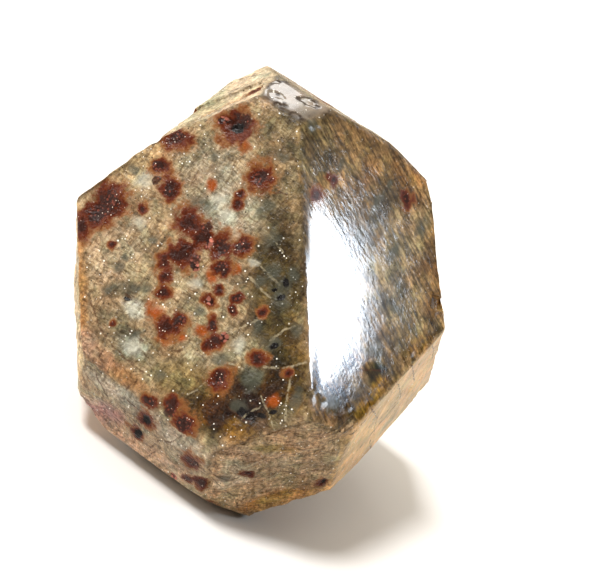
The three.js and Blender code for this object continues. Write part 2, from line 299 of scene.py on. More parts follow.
def cell_value(x: np.ndarray, y: np.ndarray, z: np.ndarray) -> np.ndarray:
    """A steady pseudo-random number from 0 to 1 for each cell of a unit grid.

    Args:
        x: Whole numbers of the cells along x.
        y: Whole numbers of the cells along y.
        z: Whole numbers of the cells along z.

    Returns:
        One number for each cell.
    """
    mask = np.uint64(0xFFFFFFFF)
    mixed = (x.astype(np.int64).view(np.uint64) * np.uint64(374761393)) & mask
    mixed ^= (y.astype(np.int64).view(np.uint64) * np.uint64(668265263)) & mask
    mixed ^= (z.astype(np.int64).view(np.uint64) * np.uint64(1442695041)) & mask
    mixed = ((mixed ^ (mixed >> np.uint64(13))) * np.uint64(1274126177)) & mask
    return (mixed ^ (mixed >> np.uint64(16))).astype(np.float64) / 4294967296.0


def noise(points: np.ndarray) -> np.ndarray:
    """Smooth noise from 0 to 1 whose lumps are one unit wide.

    Args:
        points: Places, one a row.

    Returns:
        One number for each place.
    """
    cell = np.floor(points)
    eased = smoothstep(points - cell, 0.0, 1.0)
    total = np.zeros(len(points))
    for corner in range(8):
        step = np.array((corner & 1, (corner >> 1) & 1, corner >> 2))
        weight = np.prod(np.where(step == 1, eased, 1.0 - eased), axis=1)
        total += weight * cell_value(*(cell + step).T)
    return total


def layered_noise(points: np.ndarray, width: float, layers: int = 3) -> np.ndarray:
    """Noise in layers, each half as wide and half as strong as the one before.

    Args:
        points: Places in mm, one a row.
        width: Width of the coarsest lumps, in mm.
        layers: How many layers are summed.

    Returns:
        One number from 0 to 1 for each place.
    """
    total, weight, reach = np.zeros(len(points)), 0.0, 1.0
    for layer in range(layers):
        total += reach * noise(points * (2.0**layer / width) + 17.3 * layer)
        weight += reach
        reach *= 0.5
    return total / weight


def smooth_largest(values: np.ndarray, softness: np.ndarray) -> np.ndarray:
    """The largest value of each column, with a soft change-over between near ones.

    Args:
        values: One row for each plane and one column for each point.
        softness: How wide the change-over is at each point.

    Returns:
        One number for each point, a little over the largest.
    """
    top = values.max(axis=0)
    return top + softness * np.log(np.exp((values - top) / softness).sum(axis=0))


@dataclass
class FacetedBody:
    """The crystal before its relief: flat polygons cut from a block by the planes of its sides.

    Lengths are in mm. The row step, the jitter and the rim margin are shares of the spacing of the
    mesh points.
    """

    reach: float = 60.0
    flake_reach: float = 4.0
    cut_spacing: float = 0.26
    row_step: float = 0.866
    jitter: float = 0.22
    rim_margin: float = 0.55
    same_plane: float = 2e-3
    same_facing: float = 0.999
    same_corner: float = 1e-4
    points: np.ndarray = field(init=False)
    triangles: np.ndarray = field(init=False)
    on_cut: np.ndarray = field(init=False)

    def block(self) -> bmesh.types.BMesh:
        """The convex body behind every plane but those of the far face and the block beside it.

        Returns:
            The body, in mm.
        """
        body = bmesh.new()
        bmesh.ops.create_cube(body, size=2.0 * self.reach)
        for side, plane in PLANES.items():
            if side in (Side.FAR, Side.BLOCK):
                continue
            self.slice(body, plane.normal * plane.distance, plane.normal)
        return body

    @staticmethod
    def slice(body: bmesh.types.BMesh, point: np.ndarray, normal: np.ndarray) -> None:
        """Cuts away what lies beyond a plane and closes the cut.

        Args:
            body: The body to cut.
            point: A point of the plane.
            normal: Which way the lost part lies.
        """
        parts = body.verts[:] + body.edges[:] + body.faces[:]
        cut = bmesh.ops.bisect_plane(
            body, geom=parts, dist=1e-6, plane_co=point, plane_no=normal, clear_outer=True
        )
        rim = [part for part in cut["geom_cut"] if isinstance(part, bmesh.types.BMEdge)]
        if rim:
            bmesh.ops.contextual_create(body, geom=rim)

    def wedge(self) -> bmesh.types.BMesh:
        """What is missing between the far face and the block: all that lies beyond both.

        Returns:
            The missing wedge, in mm.
        """
        body = bmesh.new()
        bmesh.ops.create_cube(body, size=2.0 * self.reach)
        for side in (Side.FAR, Side.BLOCK):
            plane = PLANES[side]
            self.slice(body, plane.normal * plane.distance, -plane.normal)
        return body

    def slab(self, plane: Plane, flake: Flake) -> bmesh.types.BMesh:
        """The slab that strikes a flake off.

        Args:
            plane: The side that the flake comes off.
            flake: The flake.

        Returns:
            The slab in its place, in mm.
        """
        body = bmesh.new()
        bmesh.ops.create_cube(body, size=1.0)
        size = Matrix.Diagonal((flake.size[0], flake.size[1], self.flake_reach, 1.0))
        lift = Matrix.Translation((0.0, 0.0, 0.5 * self.flake_reach - flake.depth))
        tip = Matrix.Rotation(math.radians(flake.tip), 4, "X")
        turn = Matrix.Rotation(math.radians(flake.turn), 4, "Z")
        basis = Matrix((plane.across, plane.up, plane.normal)).transposed().to_4x4()
        basis.translation = Vector(plane.point(flake.at))
        body.transform(basis @ turn @ tip @ lift @ size)
        return body

    @staticmethod
    def shown(body: bmesh.types.BMesh, name: str) -> bpy.types.Object:
        """Puts a body into the scene and lets go of it.

        Args:
            body: The body.
            name: The name for its object.

        Returns:
            The object.
        """
        bmesh.ops.recalc_face_normals(body, faces=body.faces[:])
        mesh = bpy.data.meshes.new(name)
        body.to_mesh(mesh)
        body.free()
        thing = bpy.data.objects.new(name, mesh)
        bpy.context.scene.collection.objects.link(thing)
        return thing

    def polygons(self) -> tuple[np.ndarray, list[list[int]]]:
        """The flat polygons of the body, less the wedge and the flakes.

        Returns:
            The corners in mm, and each polygon as a list of corner numbers.
        """
        whole = self.shown(self.block(), "uncut")
        losses = [self.shown(self.wedge(), "wedge")]
        for side, flakes in FLAKES.items():
            losses += [self.shown(self.slab(PLANES[side], flake), "flake") for flake in flakes]
        for loss in losses:
            cut = whole.modifiers.new("loss", "BOOLEAN")
            cut.operation = "DIFFERENCE"
            cut.solver = "EXACT"
            cut.object = loss
        solved = whole.evaluated_get(bpy.context.evaluated_depsgraph_get())
        mesh = solved.to_mesh()
        body = bmesh.new()
        body.from_mesh(mesh)
        bmesh.ops.remove_doubles(body, verts=body.verts[:], dist=self.same_corner)
        bmesh.ops.dissolve_degenerate(body, edges=body.edges[:], dist=self.same_corner)
        corners = np.array([corner.co[:] for corner in body.verts])
        loops = [[corner.index for corner in face.verts] for face in body.faces]
        body.free()
        solved.to_mesh_clear()
        for thing in [whole] + losses:
            bpy.data.meshes.remove(thing.data)
        return corners, loops

    def side_of(self, corners: np.ndarray, normal: np.ndarray) -> Side | None:
        """Finds the side that a polygon belongs to.

        Args:
            corners: The polygon's corners, in mm.
            normal: Which way it faces.

        Returns:
            The side whose plane holds the corners, or None on the wall of a loss.
        """
        for side, plane in PLANES.items():
            apart = np.abs(plane.gap(corners)).max()
            if apart < self.same_plane and abs(float(normal @ plane.normal)) > self.same_facing:
                return side
        return None

    @staticmethod
    def divided(
        corners: np.ndarray, spacings: dict[tuple[int, int], float]
    ) -> tuple[np.ndarray, dict[tuple[int, int], list[int]]]:
        """Divides every edge evenly.

        Args:
            corners: The corners of all the polygons, in mm.
            spacings: The distance between the points of each edge, which is named by its corners.

        Returns:
            The corners and then the new points, and the numbers of the points on each edge.
        """
        points = [corners]
        count = len(corners)
        on_edge: dict[tuple[int, int], list[int]] = {}
        for (a, b), spacing in spacings.items():
            pieces = max(1, round(float(np.linalg.norm(corners[a] - corners[b])) / spacing))
            shares = np.arange(1, pieces)[:, None] / pieces
            points.append(corners[a] * (1.0 - shares) + corners[b] * shares)
            on_edge[(a, b)] = list(range(count, count + pieces - 1))
            count += pieces - 1
        return np.vstack(points), on_edge

    def mesh(self, dice: np.random.Generator) -> None:
        """Meshes every polygon evenly, with the same points on both sides of each edge.

        Args:
            dice: Where the small shifts of the mesh points come from.
        """
        corners, loops = self.polygons()
        plans = []
        spacings: dict[tuple[int, int], float] = {}
        for loop in loops:
            normal = newell(corners[loop])
            side = self.side_of(corners[loop], normal)
            spacing = PLANES[side].spacing if side else self.cut_spacing
            plans.append((loop, normal, side, spacing))
            for a, b in zip(loop, loop[1:] + loop[:1]):
                key = (min(a, b), max(a, b))
                spacings[key] = min(spacing, spacings.get(key, spacing))
        edged, on_edge = self.divided(corners, spacings)
        count = len(edged)
        points, triangles, cut_points = [edged], [], []
        for loop, normal, side, spacing in plans:
            rim = []
            for a, b in zip(loop, loop[1:] + loop[:1]):
                inner = on_edge[(min(a, b), max(a, b))]
                rim += [a] + (inner if a < b else inner[::-1])
            fresh, faces = self.fill(edged[rim], normal, spacing, dice)
            numbers = np.array(rim + list(range(count, count + len(fresh))))
            count += len(fresh)
            points.append(fresh)
            triangles.append(numbers[faces])
            if side is None:
                cut_points.append(numbers)
        self.points = np.vstack(points)
        self.triangles = np.vstack(triangles)
        self.on_cut = np.zeros(len(self.points), dtype=bool)
        self.on_cut[np.concatenate(cut_points)] = True

    def fill(
        self, rim: np.ndarray, normal: np.ndarray, spacing: float, dice: np.random.Generator
    ) -> tuple[np.ndarray, np.ndarray]:
        """Fills a flat outline with evenly spread points and triangles between them.

        Args:
            rim: The outline's points in order.
            normal: Which way the polygon faces.
            spacing: Distance between the points inside, in mm.
            dice: Where the small shifts of the points come from.

        Returns:
            The points added inside, and triangles that count the outline first and then them.
        """
        first = np.cross(normal, (0.13, 0.71, 0.69))
        first /= np.linalg.norm(first)
        second = np.cross(normal, first)
        origin = rim.mean(axis=0)
        flat = np.column_stack(((rim - origin) @ first, (rim - origin) @ second))
        low, high = flat.min(axis=0), flat.max(axis=0)
        columns = np.arange(low[0], high[0], spacing)
        rows = np.arange(low[1], high[1], spacing * self.row_step)
        grid = np.stack(np.meshgrid(columns, rows), axis=-1)
        grid[1::2, :, 0] += 0.5 * spacing
        grid = grid.reshape(-1, 2)
        grid += dice.uniform(-self.jitter, self.jitter, grid.shape) * spacing
        grid = grid[inside_outline(grid, flat, self.rim_margin * spacing)]
        ends = [(i, (i + 1) % len(flat)) for i in range(len(flat))]
        places = [Vector(p) for p in np.vstack((flat, grid))]
        made = delaunay_2d_cdt(places, ends, [list(range(len(flat)))], 1, 1e-7)
        back = [sources[0] for sources in made[3]]
        if len(made[0]) != len(places):
            log.warning("a polygon was meshed with %d points for %d", len(made[0]), len(places))
        faces = np.array([[back[i] for i in face] for face in made[2]])
        fresh = origin + grid[:, :1] * first + grid[:, 1:] * second
        whole = np.vstack((rim, fresh))
        a, b, c = (whole[faces[:, i]] for i in range(3))
        wrong = np.einsum("ij,j->i", np.cross(b - a, c - a), normal) < 0.0
        faces[wrong] = faces[wrong][:, ::-1]
        return fresh, faces


def newell(ring: np.ndarray) -> np.ndarray:
    """The unit normal of a flat polygon."""
    total = np.cross(ring, np.roll(ring, -1, axis=0)).sum(axis=0)
    return total / np.linalg.norm(total)


def inside_outline(places: np.ndarray, outline: np.ndarray, margin: float) -> np.ndarray:
    """Which places lie inside a closed outline and keep a margin from it.

    Args:
        places: Places in the plane, one a row.
        outline: The outline's points in order.
        margin: The least distance from the outline.

    Returns:
        True for each place that lies inside.
    """
    inside = np.zeros(len(places), dtype=bool)
    nearest = np.full(len(places), np.inf)
    for start, end in zip(outline, np.roll(outline, -1, axis=0)):
        crosses = (start[1] > places[:, 1]) != (end[1] > places[:, 1])
        if start[1] != end[1]:
            reach = (end[0] - start[0]) * (places[:, 1] - start[1]) / (end[1] - start[1]) + start[0]
            inside ^= crosses & (places[:, 0] < reach)
        along = end - start
        share = np.clip((places - start) @ along / max(float(along @ along), 1e-12), 0.0, 1.0)
        gone = np.linalg.norm(places - start - share[:, None] * along, axis=1)
        nearest = np.minimum(nearest, gone)
    return inside & (nearest > margin)


@dataclass
class Relief:
    """What makes the flat sides uneven: worn edges, broken ground, pits, layers and etching.

    Widths and heights are in mm, and so is every softness, which is how widely an edge is rounded.
    """

    coarse_share: float = 0.7
    fine_share: float = 0.3
    fine_width: float = 0.4
    skin: float = 0.5
    rest_fade: float = 1.2
    edge_softness: float = 0.1
    chip_softness: float = 0.25
    chip_span: tuple[float, float] = (0.56, 0.74)
    blunt_softness: float = 0.4
    keen_saving: float = 0.75
    wear_passes: int = 3
    pit_share: float = 0.6
    polished_pit_share: float = 0.2
    pit_fray: float = 0.35
    keen_edge_width: float = 1.4
    keen_edge_end: tuple[float, float] = (8.0, 12.0)
    polish_at: Place = (-11.0, 6.5)
    polish_way: tuple[float, float] = (0.592, 0.806)
    polish_size: tuple[float, float] = (13.5, 9.0)
    island_rim: tuple[float, float] = (0.48, 0.53)
    ledge_height: float = 0.42

    def gaps(self, points: np.ndarray) -> dict[Side, np.ndarray]:
        """How far each point lies behind the plane of each side, in mm."""
        return {side: plane.gap(points) for side, plane in PLANES.items()}

    def shares(self, points: np.ndarray) -> dict[Side, np.ndarray]:
        """How much each point belongs to each side: 1 in its plane, 0 half a millimetre behind."""
        gaps = self.gaps(points)
        return {side: 1.0 - smoothstep(np.abs(gap), 0.0, self.skin) for side, gap in gaps.items()}

    def worn_edges(self, points: np.ndarray) -> np.ndarray:
        """Wears the edges round and chips them.

        Args:
            points: Points of the flat-faced body, in mm.

        Returns:
            The points after the wear.
        """
        wear = layered_noise(points, 2.2, 3)
        softness = self.edge_softness * (0.6 + 0.8 * layered_noise(points + 40.0, 0.9, 2))
        softness += self.chip_softness * smoothstep(wear, *self.chip_span)
        softness += self.blunt_softness * self.blunt(points)
        softness *= 1.0 - self.keen_saving * self.keen(points)
        unworn = (Side.FAR, Side.BLOCK, Side.RESTING)
        planes = [plane for side, plane in PLANES.items() if side not in unworn]
        normals = np.array([plane.normal for plane in planes])
        moved = points.copy()
        for _ in range(self.wear_passes):
            values = np.array([-plane.gap(moved) for plane in planes])
            top = smooth_largest(values, softness)
            weights = np.exp((values - values.max(axis=0)) / softness)
            weights /= weights.sum(axis=0)
            slope = weights.T @ normals
            steep = np.maximum((slope**2).sum(axis=1), 0.2)
            push = np.where(top > softness * 0.02, top, 0.0) / steep
            moved -= push[:, None] * slope
        return moved

    def blunt(self, points: np.ndarray) -> np.ndarray:
        """How far the edge over the left prism strip and the front corner are rubbed round.

        Args:
            points: Points of the flat-faced body, in mm.

        Returns:
            One number for each point, 0 where nothing is rubbed.
        """
        gaps = self.gaps(points)
        near = np.exp(-(gaps[Side.PYRAMID_LEFT] ** 2 + gaps[Side.PRISM_LEFT] ** 2) / 9.0)
        left = near * (1.0 - smoothstep(points @ PLANES[Side.PRISM_LEFT].across, 3.0, 11.0))
        broken = gaps[Side.CORNER_FRONT] ** 2
        corner = np.exp(-(broken + gaps[Side.PYRAMID_LEFT] ** 2) / 12.0)
        corner += np.exp(-(broken + gaps[Side.PYRAMID_RIGHT] ** 2) / 6.0)
        corner += np.exp(-(broken + gaps[Side.PRISM_LEFT] ** 2) / 6.0)
        ragged = layered_noise(points + 70.0, 1.6, 3)
        return left + np.minimum(corner, 1.0) * (0.5 + 0.9 * ragged)

    def keen(self, points: np.ndarray) -> np.ndarray:
        """How sharp the edge between the front pyramid faces still is.

        Args:
            points: Points of the flat-faced body, in mm.

        Returns:
            One number from 0 to 1 for each point.
        """
        gaps = self.gaps(points)
        away = np.hypot(gaps[Side.PYRAMID_LEFT], gaps[Side.PYRAMID_RIGHT])
        whole = 1.0 - smoothstep(points @ PLANES[Side.PYRAMID_LEFT].up, *self.keen_edge_end)
        return whole * (1.0 - smoothstep(away, 0.0, 2.0 * self.keen_edge_width))

    @classmethod
    def polish(cls, points: np.ndarray) -> np.ndarray:
        """How smooth the right pyramid face is: 1 beside the middle of its left edge, 0 far out.

        Args:
            points: Points of the flat-faced body, in mm.

        Returns:
            One number for each point.
        """
        across, up = (PLANES[Side.PYRAMID_RIGHT].flat(points) - cls.polish_at).T
        along = cls.polish_way[0] * across + cls.polish_way[1] * up
        beside = cls.polish_way[1] * across - cls.polish_way[0] * up
        gone = np.hypot(along / cls.polish_size[0], beside / cls.polish_size[1])
        fray = 0.35 * (layered_noise(points + 3.0, 1.4, 3) - 0.5)
        return 1.0 - smoothstep(gone + fray, 0.75, 1.2)

    @staticmethod
    def islands(points: np.ndarray) -> np.ndarray:
        """The uneven field whose middle level draws the outlines of the etched islands."""
        return layered_noise(points + 2.0, 1.5, 3)

    def broken_ground(self, points: np.ndarray, shares: dict[Side, np.ndarray]) -> np.ndarray:
        """The lumps of the uneven sides and the round pits.

        Args:
            points: Points of the flat-faced body, in mm.
            shares: How much each point belongs to each side.

        Returns:
            How far each point moves, in mm.
        """
        move = np.zeros_like(points)
        for side, (height, width) in UNEVEN.items():
            coarse = noise(points / width)
            fine = noise(points / (self.fine_width * width))
            lump = self.coarse_share * coarse + self.fine_share * fine
            move -= (height * shares[side] * lump)[:, None] * PLANES[side].normal
        rough = self.pit_fray * (layered_noise(points, 0.8, 2) - 0.5)
        for side, pits in PITS.items():
            plane = PLANES[side]
            share = self.polished_pit_share if side is Side.PYRAMID_RIGHT else self.pit_share
            for pit in pits:
                gone = np.linalg.norm(points - plane.point(pit.at), axis=1) / pit.radius
                ragged = gone + rough * smoothstep(gone, 0.15, 0.9)
                dip = np.clip(1.0 - ragged**2, 0.0, 1.0) ** 2
                move -= (share * pit.depth * dip * (gone < 1.3))[:, None] * plane.normal
        return move

    def left_face(self, points: np.ndarray) -> np.ndarray:
        """The left pyramid face: broad waves, etched hollows and small holes.

        Args:
            points: Points of the flat-faced body, in mm.

        Returns:
            One height in mm for each point.
        """
        waves = 0.22 * (layered_noise(points, 4.0, 2) - 0.5)
        hollows = -0.03 * smoothstep(layered_noise(points + 9.0, 0.7, 2), 0.52, 0.66)
        holes = -0.08 * smoothstep(noise(points / 0.5 + 3.0), 0.8, 0.92)
        inward = PLANES[Side.PYRAMID_RIGHT].gap(points)
        return (waves - 0.04 + hollows + holes) * smoothstep(inward, 0.0, self.keen_edge_width)

    def right_face(self, points: np.ndarray) -> np.ndarray:
        """The right pyramid face: slight waves, with streaks and dents where it is worn.

        Args:
            points: Points of the flat-faced body, in mm.

        Returns:
            One height in mm for each point.
        """
        across, up = PLANES[Side.PYRAMID_RIGHT].flat(points).T
        worn = 1.0 - self.polish(points)
        along = np.column_stack((across * 2.3, up * 0.16, np.full(len(up), 4.0)))
        streaks = 0.002 * (0.6 + worn) * (layered_noise(along, 1.0, 3) - 0.5)
        waves = 0.02 * (layered_noise(points, 7.0, 1) - 0.5)
        dents = -0.004 * worn * smoothstep(layered_noise(points + 5.0, 0.7, 2), 0.5, 0.78)
        inward = PLANES[Side.PYRAMID_LEFT].gap(points)
        return (streaks + waves - 0.02 + dents) * smoothstep(inward, 0.0, self.keen_edge_width)

    @staticmethod
    def upper_face(points: np.ndarray) -> np.ndarray:
        """The narrow upper pyramid face, whose layers end in steps.

        Args:
            points: Points of the flat-faced body, in mm.

        Returns:
            One height in mm for each point.
        """
        across, up = PLANES[Side.PYRAMID_UPPER].flat(points).T
        ridge = 0.69 * across + 0.72 * up
        steps = layered_noise(np.column_stack((across * 0.25, ridge, up * 0.1)), 1.3, 3)
        return -0.16 * np.round(steps * 9.0) / 9.0 - 0.05 * layered_noise(points, 0.7, 2)

    @staticmethod
    def left_strip(points: np.ndarray) -> np.ndarray:
        """The left prism strip, grooved along its length.

        Args:
            points: Points of the flat-faced body, in mm.

        Returns:
            One height in mm for each point.
        """
        across, up = PLANES[Side.PRISM_LEFT].flat(points).T
        grooves = layered_noise(np.column_stack((across * 0.2, up * 1.5, np.zeros(len(up)))), 1.0, 3)
        return -0.18 * grooves - 0.2 * layered_noise(points, 1.2, 3)

    def broken_side(self, points: np.ndarray) -> np.ndarray:
        """A broken side, with ledges where the break ran from level to level.

        Args:
            points: Points of the flat-faced body, in mm.

        Returns:
            One height in mm for each point.
        """
        ledges = layered_noise(points, 1.1, 4)
        stepped = 0.5 * ledges + 0.5 * np.round(ledges * 7.0) / 7.0
        return 0.06 - self.ledge_height * stepped

    def texture(self, points: np.ndarray, side: Side) -> np.ndarray:
        """The fine relief of one side, in mm, below zero where it goes in.

        Args:
            points: Points of the flat-faced body, in mm.
            side: The side whose own texture is wanted.

        Returns:
            One height for each point.
        """
        faces = {
            Side.PYRAMID_LEFT: self.left_face,
            Side.PYRAMID_RIGHT: self.right_face,
            Side.PYRAMID_UPPER: self.upper_face,
            Side.PRISM_LEFT: self.left_strip,
        }
        if side in faces:
            return faces[side](points)
        if side is Side.TIP_FLAT:
            return -0.05 * smoothstep(self.islands(points), *self.island_rim)
        if side is Side.PRISM_RIGHT:
            return -0.22 * layered_noise(points, 1.6, 3)
        if side is Side.RESTING:
            return np.zeros(len(points))
        if side in UNEVEN:
            return self.broken_side(points)
        return -0.16 * layered_noise(points, 1.0, 3)

    def shaped(self, body: FacetedBody) -> np.ndarray:
        """Wears the body and lays its relief on.

        Args:
            body: The meshed body.

        Returns:
            Its points after wear, broken ground and fine relief, in mm.
        """
        shares = self.shares(body.points)
        worn = self.worn_edges(body.points)
        move = worn - body.points + self.broken_ground(body.points, shares)
        total = sum(shares.values())
        for side, share in shares.items():
            part = share / np.maximum(total, 1.0)
            used = part > 0.0
            height = np.zeros(len(body.points))
            height[used] = self.texture(body.points[used], side) * part[used]
            move += height[:, None] * PLANES[side].normal
        above = PLANES[Side.RESTING].gap(body.points)
        return body.points + move * smoothstep(above, 0.0, self.rest_fade)[:, None]


# The marks


class Stain(Enum):
    """What stains or marks the surface."""

    RUST = "rust_field"
    CORE = "core_field"
    ROSE = "rose_field"
    EMBER = "ember_field"
    SLATE = "slate_field"
    PALE = "pale_field"
    BLACK = "black_field"


class Crack(Enum):
    """The cracks: dark open ones, and pale ones that have healed."""

    OPEN = "crack"
    HEALED = "healed"


class Crop(Enum):
    """The parts of the photo that were enlarged to mark spots on, each by its corner in pixels."""

    UPPER_LEFT = (60, 50)
    LOWER_LEFT = (60, 250)
    UPPER_RIGHT = (240, 60)
    LOWER_RIGHT = (220, 290)

    def pixel(self, at: Place) -> Place:
        """The place in the photo, in pixels, of a place in the enlarged part."""
        return self.value[0] + at[0] / ENLARGED, self.value[1] + at[1] / ENLARGED


@dataclass(frozen=True)
class Spot:
    """A spot: its place and radius, and its length by width and its turn if it is long.

    The tables give the place in an enlarged part of the photo and the radius in the photo's pixels.
    Once it is placed on its side, both are in mm.
    """

    at: Place
    radius: float
    stretch: float = 1.0
    turn: float = 0.0


@dataclass(frozen=True)
class Patch:
    """A broad patch of the stone's own colour, as seen in light, with its place and half-sizes.

    The tables give both in the photo's pixels. Once it is placed on its side, they are in mm.
    """

    at: Place
    size: tuple[float, float]
    turn: float
    colour: Colour
    strength: float


@dataclass(frozen=True)
class Band:
    """A long patch between two places in the photo, with its half-width in mm."""

    start: Place
    end: Place
    half_width: float
    colour: Colour
    strength: float


# How many times larger than the photo its enlarged parts are.
ENLARGED = 4
# The spots of each side, by the enlarged part that shows them and by what stains them.
SPOTS: dict[Side, dict[tuple[Crop, Stain], tuple[Spot, ...]]] = {
    Side.PYRAMID_LEFT: {
        (Crop.UPPER_LEFT, Stain.RUST): (
            Spot((200, 600), 17), Spot((150, 655), 13), Spot((85, 705), 11, 1.3, 90),
            Spot((465, 362), 13, 1.5, -20), Spot((700, 310), 17, 1.1), Spot((800, 510), 12.5),
            Spot((410, 472), 9, 1.2), Spot((440, 560), 11), Spot((335, 628), 5.5), Spot((720, 590), 5),
            Spot((712, 625), 5.5), Spot((215, 780), 4), Spot((520, 690), 14, 1.3, 90),
            Spot((560, 740), 15), Spot((640, 785), 13, 1.1), Spot((728, 780), 10),
            Spot((500, 820), 15, 1.2), Spot((425, 855), 10), Spot((428, 905), 7),
            Spot((655, 875), 9, 1.2), Spot((418, 965), 8, 1.1), Spot((638, 955), 5.5),
            Spot((600, 998), 7), Spot((710, 985), 7), Spot((690, 1035), 6), Spot((812, 1048), 5),
        ),
        (Crop.UPPER_LEFT, Stain.CORE): (
            Spot((215, 595), 8), Spot((150, 655), 7), Spot((180, 640), 6), Spot((480, 352), 5, 1.3),
            Spot((735, 285), 8), Spot((800, 508), 7.5), Spot((395, 470), 6), Spot((437, 568), 5),
            Spot((395, 530), 4.5), Spot((588, 710), 6), Spot((648, 783), 7.5), Spot((728, 780), 6.5),
            Spot((557, 838), 4), Spot((650, 878), 6), Spot((710, 985), 4), Spot((690, 1035), 3.5),
        ),
        (Crop.UPPER_LEFT, Stain.BLACK): (
            Spot((708, 322), 6), Spot((885, 990), 5, 1.6, 30), Spot((905, 935), 3.5, 1.5, 90),
            Spot((860, 960), 3, 1.5, 30), Spot((270, 1000), 3.5, 1.2),
        ),
        (Crop.UPPER_LEFT, Stain.ROSE): (
            Spot((655, 290), 5, 1.6), Spot((598, 772), 5), Spot((545, 862), 5), Spot((600, 1000), 4.5),
        ),
        (Crop.UPPER_LEFT, Stain.EMBER): (
            Spot((740, 380), 7), Spot((615, 905), 7), Spot((705, 880), 6), Spot((385, 1045), 9.5),
            Spot((610, 545), 6),
        ),
        (Crop.LOWER_LEFT, Stain.RUST): (
            Spot((482, 278), 8), Spot((435, 305), 11.5, 1.2), Spot((610, 297), 7),
            Spot((630, 355), 8, 1.2, -30), Spot((600, 375), 6), Spot((795, 435), 8, 1.1),
            Spot((640, 510), 10.5), Spot((912, 492), 5.5), Spot((360, 605), 8.5),
            Spot((450, 610), 9, 1.2), Spot((500, 690), 12), Spot((215, 290), 3.5),
        ),
        (Crop.LOWER_LEFT, Stain.CORE): (
            Spot((485, 278), 5), Spot((612, 297), 4.5), Spot((790, 435), 3.5), Spot((642, 512), 5.5),
            Spot((360, 600), 5), Spot((440, 640), 7), Spot((500, 690), 8.5),
        ),
        (Crop.LOWER_LEFT, Stain.EMBER): (
            Spot((430, 345), 8), Spot((570, 320), 6, 1.5), Spot((852, 600), 5.5), Spot((490, 350), 4),
        ),
        (Crop.LOWER_LEFT, Stain.ROSE): (Spot((662, 345), 5.5),),
        (Crop.UPPER_LEFT, Stain.SLATE): (
            Spot((890, 440), 7), Spot((830, 640), 8, 1.3, 30), Spot((845, 740), 11, 1.2, 45),
            Spot((880, 985), 14, 1.2, 90), Spot((850, 880), 9), Spot((935, 900), 7, 1.5, 90),
            Spot((200, 955), 6, 1.2), Spot((310, 955), 7, 1.5, 20), Spot((235, 870), 6),
            Spot((265, 835), 4), Spot((620, 435), 5, 1.3, 90), Spot((560, 620), 12, 1.5),
            Spot((375, 760), 5), Spot((800, 925), 6), Spot((300, 480), 6, 1.6, -30),
        ),
        (Crop.LOWER_LEFT, Stain.SLATE): (
            Spot((790, 310), 8), Spot((850, 375), 9, 1.3, 20), Spot((950, 320), 7, 1.4, 90),
            Spot((770, 520), 10), Spot((940, 600), 9, 2, 60), Spot((720, 620), 9, 1.2),
            Spot((400, 500), 6, 1.2), Spot((310, 340), 7, 2, 35), Spot((640, 430), 8, 1.2, 20),
            Spot((560, 240), 6), Spot((350, 160), 5, 1.4, 30),
        ),
        (Crop.LOWER_LEFT, Stain.BLACK): (
            Spot((855, 385), 4, 1.5, 20), Spot((728, 640), 4.5, 1.6, 45), Spot((803, 660), 5, 2, -15),
            Spot((855, 645), 3, 2),
        ),
        (Crop.LOWER_LEFT, Stain.PALE): (Spot((290, 385), 9, 1.3, 20), Spot((720, 380), 9, 1.2, 60)),
        (Crop.UPPER_LEFT, Stain.PALE): (
            Spot((295, 1035), 7, 1.4, 20), Spot((640, 600), 8, 1.3), Spot((545, 935), 7),
            Spot((660, 660), 8, 1.5, 30), Spot((320, 690), 8), Spot((345, 530), 10, 1.4, -20),
            Spot((780, 850), 5, 1.3),
        ),
    },
    Side.PRISM_LEFT: {
        (Crop.LOWER_LEFT, Stain.BLACK): (Spot((347, 681), 5, 1.2, 30), Spot((314, 738), 4, 1.4, 45)),
        (Crop.LOWER_LEFT, Stain.RUST): (
            Spot((345, 681), 7.5, 1.1, 30), Spot((308, 730), 6.5, 1.2, 40),
            Spot((523, 846), 8, 1.5, 30), Spot((503, 912), 5.5, 1.3, 30), Spot((560, 938), 6, 1.3, 30),
        ),
        (Crop.LOWER_LEFT, Stain.CORE): (Spot((535, 850), 5, 1.3, 30),),
        (Crop.LOWER_LEFT, Stain.ROSE): (Spot((455, 905), 3),),
    },
    Side.CORNER_FRONT: {
        (Crop.LOWER_LEFT, Stain.BLACK): (Spot((545, 970), 2.5),),
        (Crop.LOWER_LEFT, Stain.RUST): (Spot((755, 900), 4.5, 1.6),),
        (Crop.LOWER_LEFT, Stain.SLATE): (Spot((665, 925), 5, 1.2),),
        (Crop.LOWER_RIGHT, Stain.RUST): (Spot((415, 783), 5, 1.3, -20),),
        (Crop.LOWER_RIGHT, Stain.BLACK): (Spot((420, 783), 2),),
    },
    Side.PYRAMID_RIGHT: {
        (Crop.UPPER_RIGHT, Stain.RUST): (
            Spot((365, 485), 6, 1.3, -60), Spot((305, 545), 6.5), Spot((665, 560), 7),
        ),
        (Crop.UPPER_RIGHT, Stain.CORE): (Spot((665, 562), 4),),
        (Crop.UPPER_RIGHT, Stain.SLATE): (
            Spot((598, 505), 4, 2.2, 60), Spot((545, 590), 5, 2.2, 60), Spot((715, 680), 7, 3, 60),
            Spot((610, 770), 8, 2, 45), Spot((640, 1000), 5, 1.5, 60), Spot((400, 420), 7, 2, 60),
            Spot((290, 270), 7, 1.5, 30), Spot((470, 700), 6, 2.5, 60), Spot((555, 560), 6, 2.5, 60),
        ),
        (Crop.UPPER_RIGHT, Stain.BLACK): (Spot((493, 830), 1.6), Spot((516, 836), 1.2)),
        (Crop.LOWER_RIGHT, Stain.SLATE): (
            Spot((620, 245), 9, 1.2), Spot((440, 440), 10, 1.5, 20), Spot((700, 75), 6, 1.5, 60),
            Spot((520, 250), 6, 2.5, 60),
        ),
    },
}

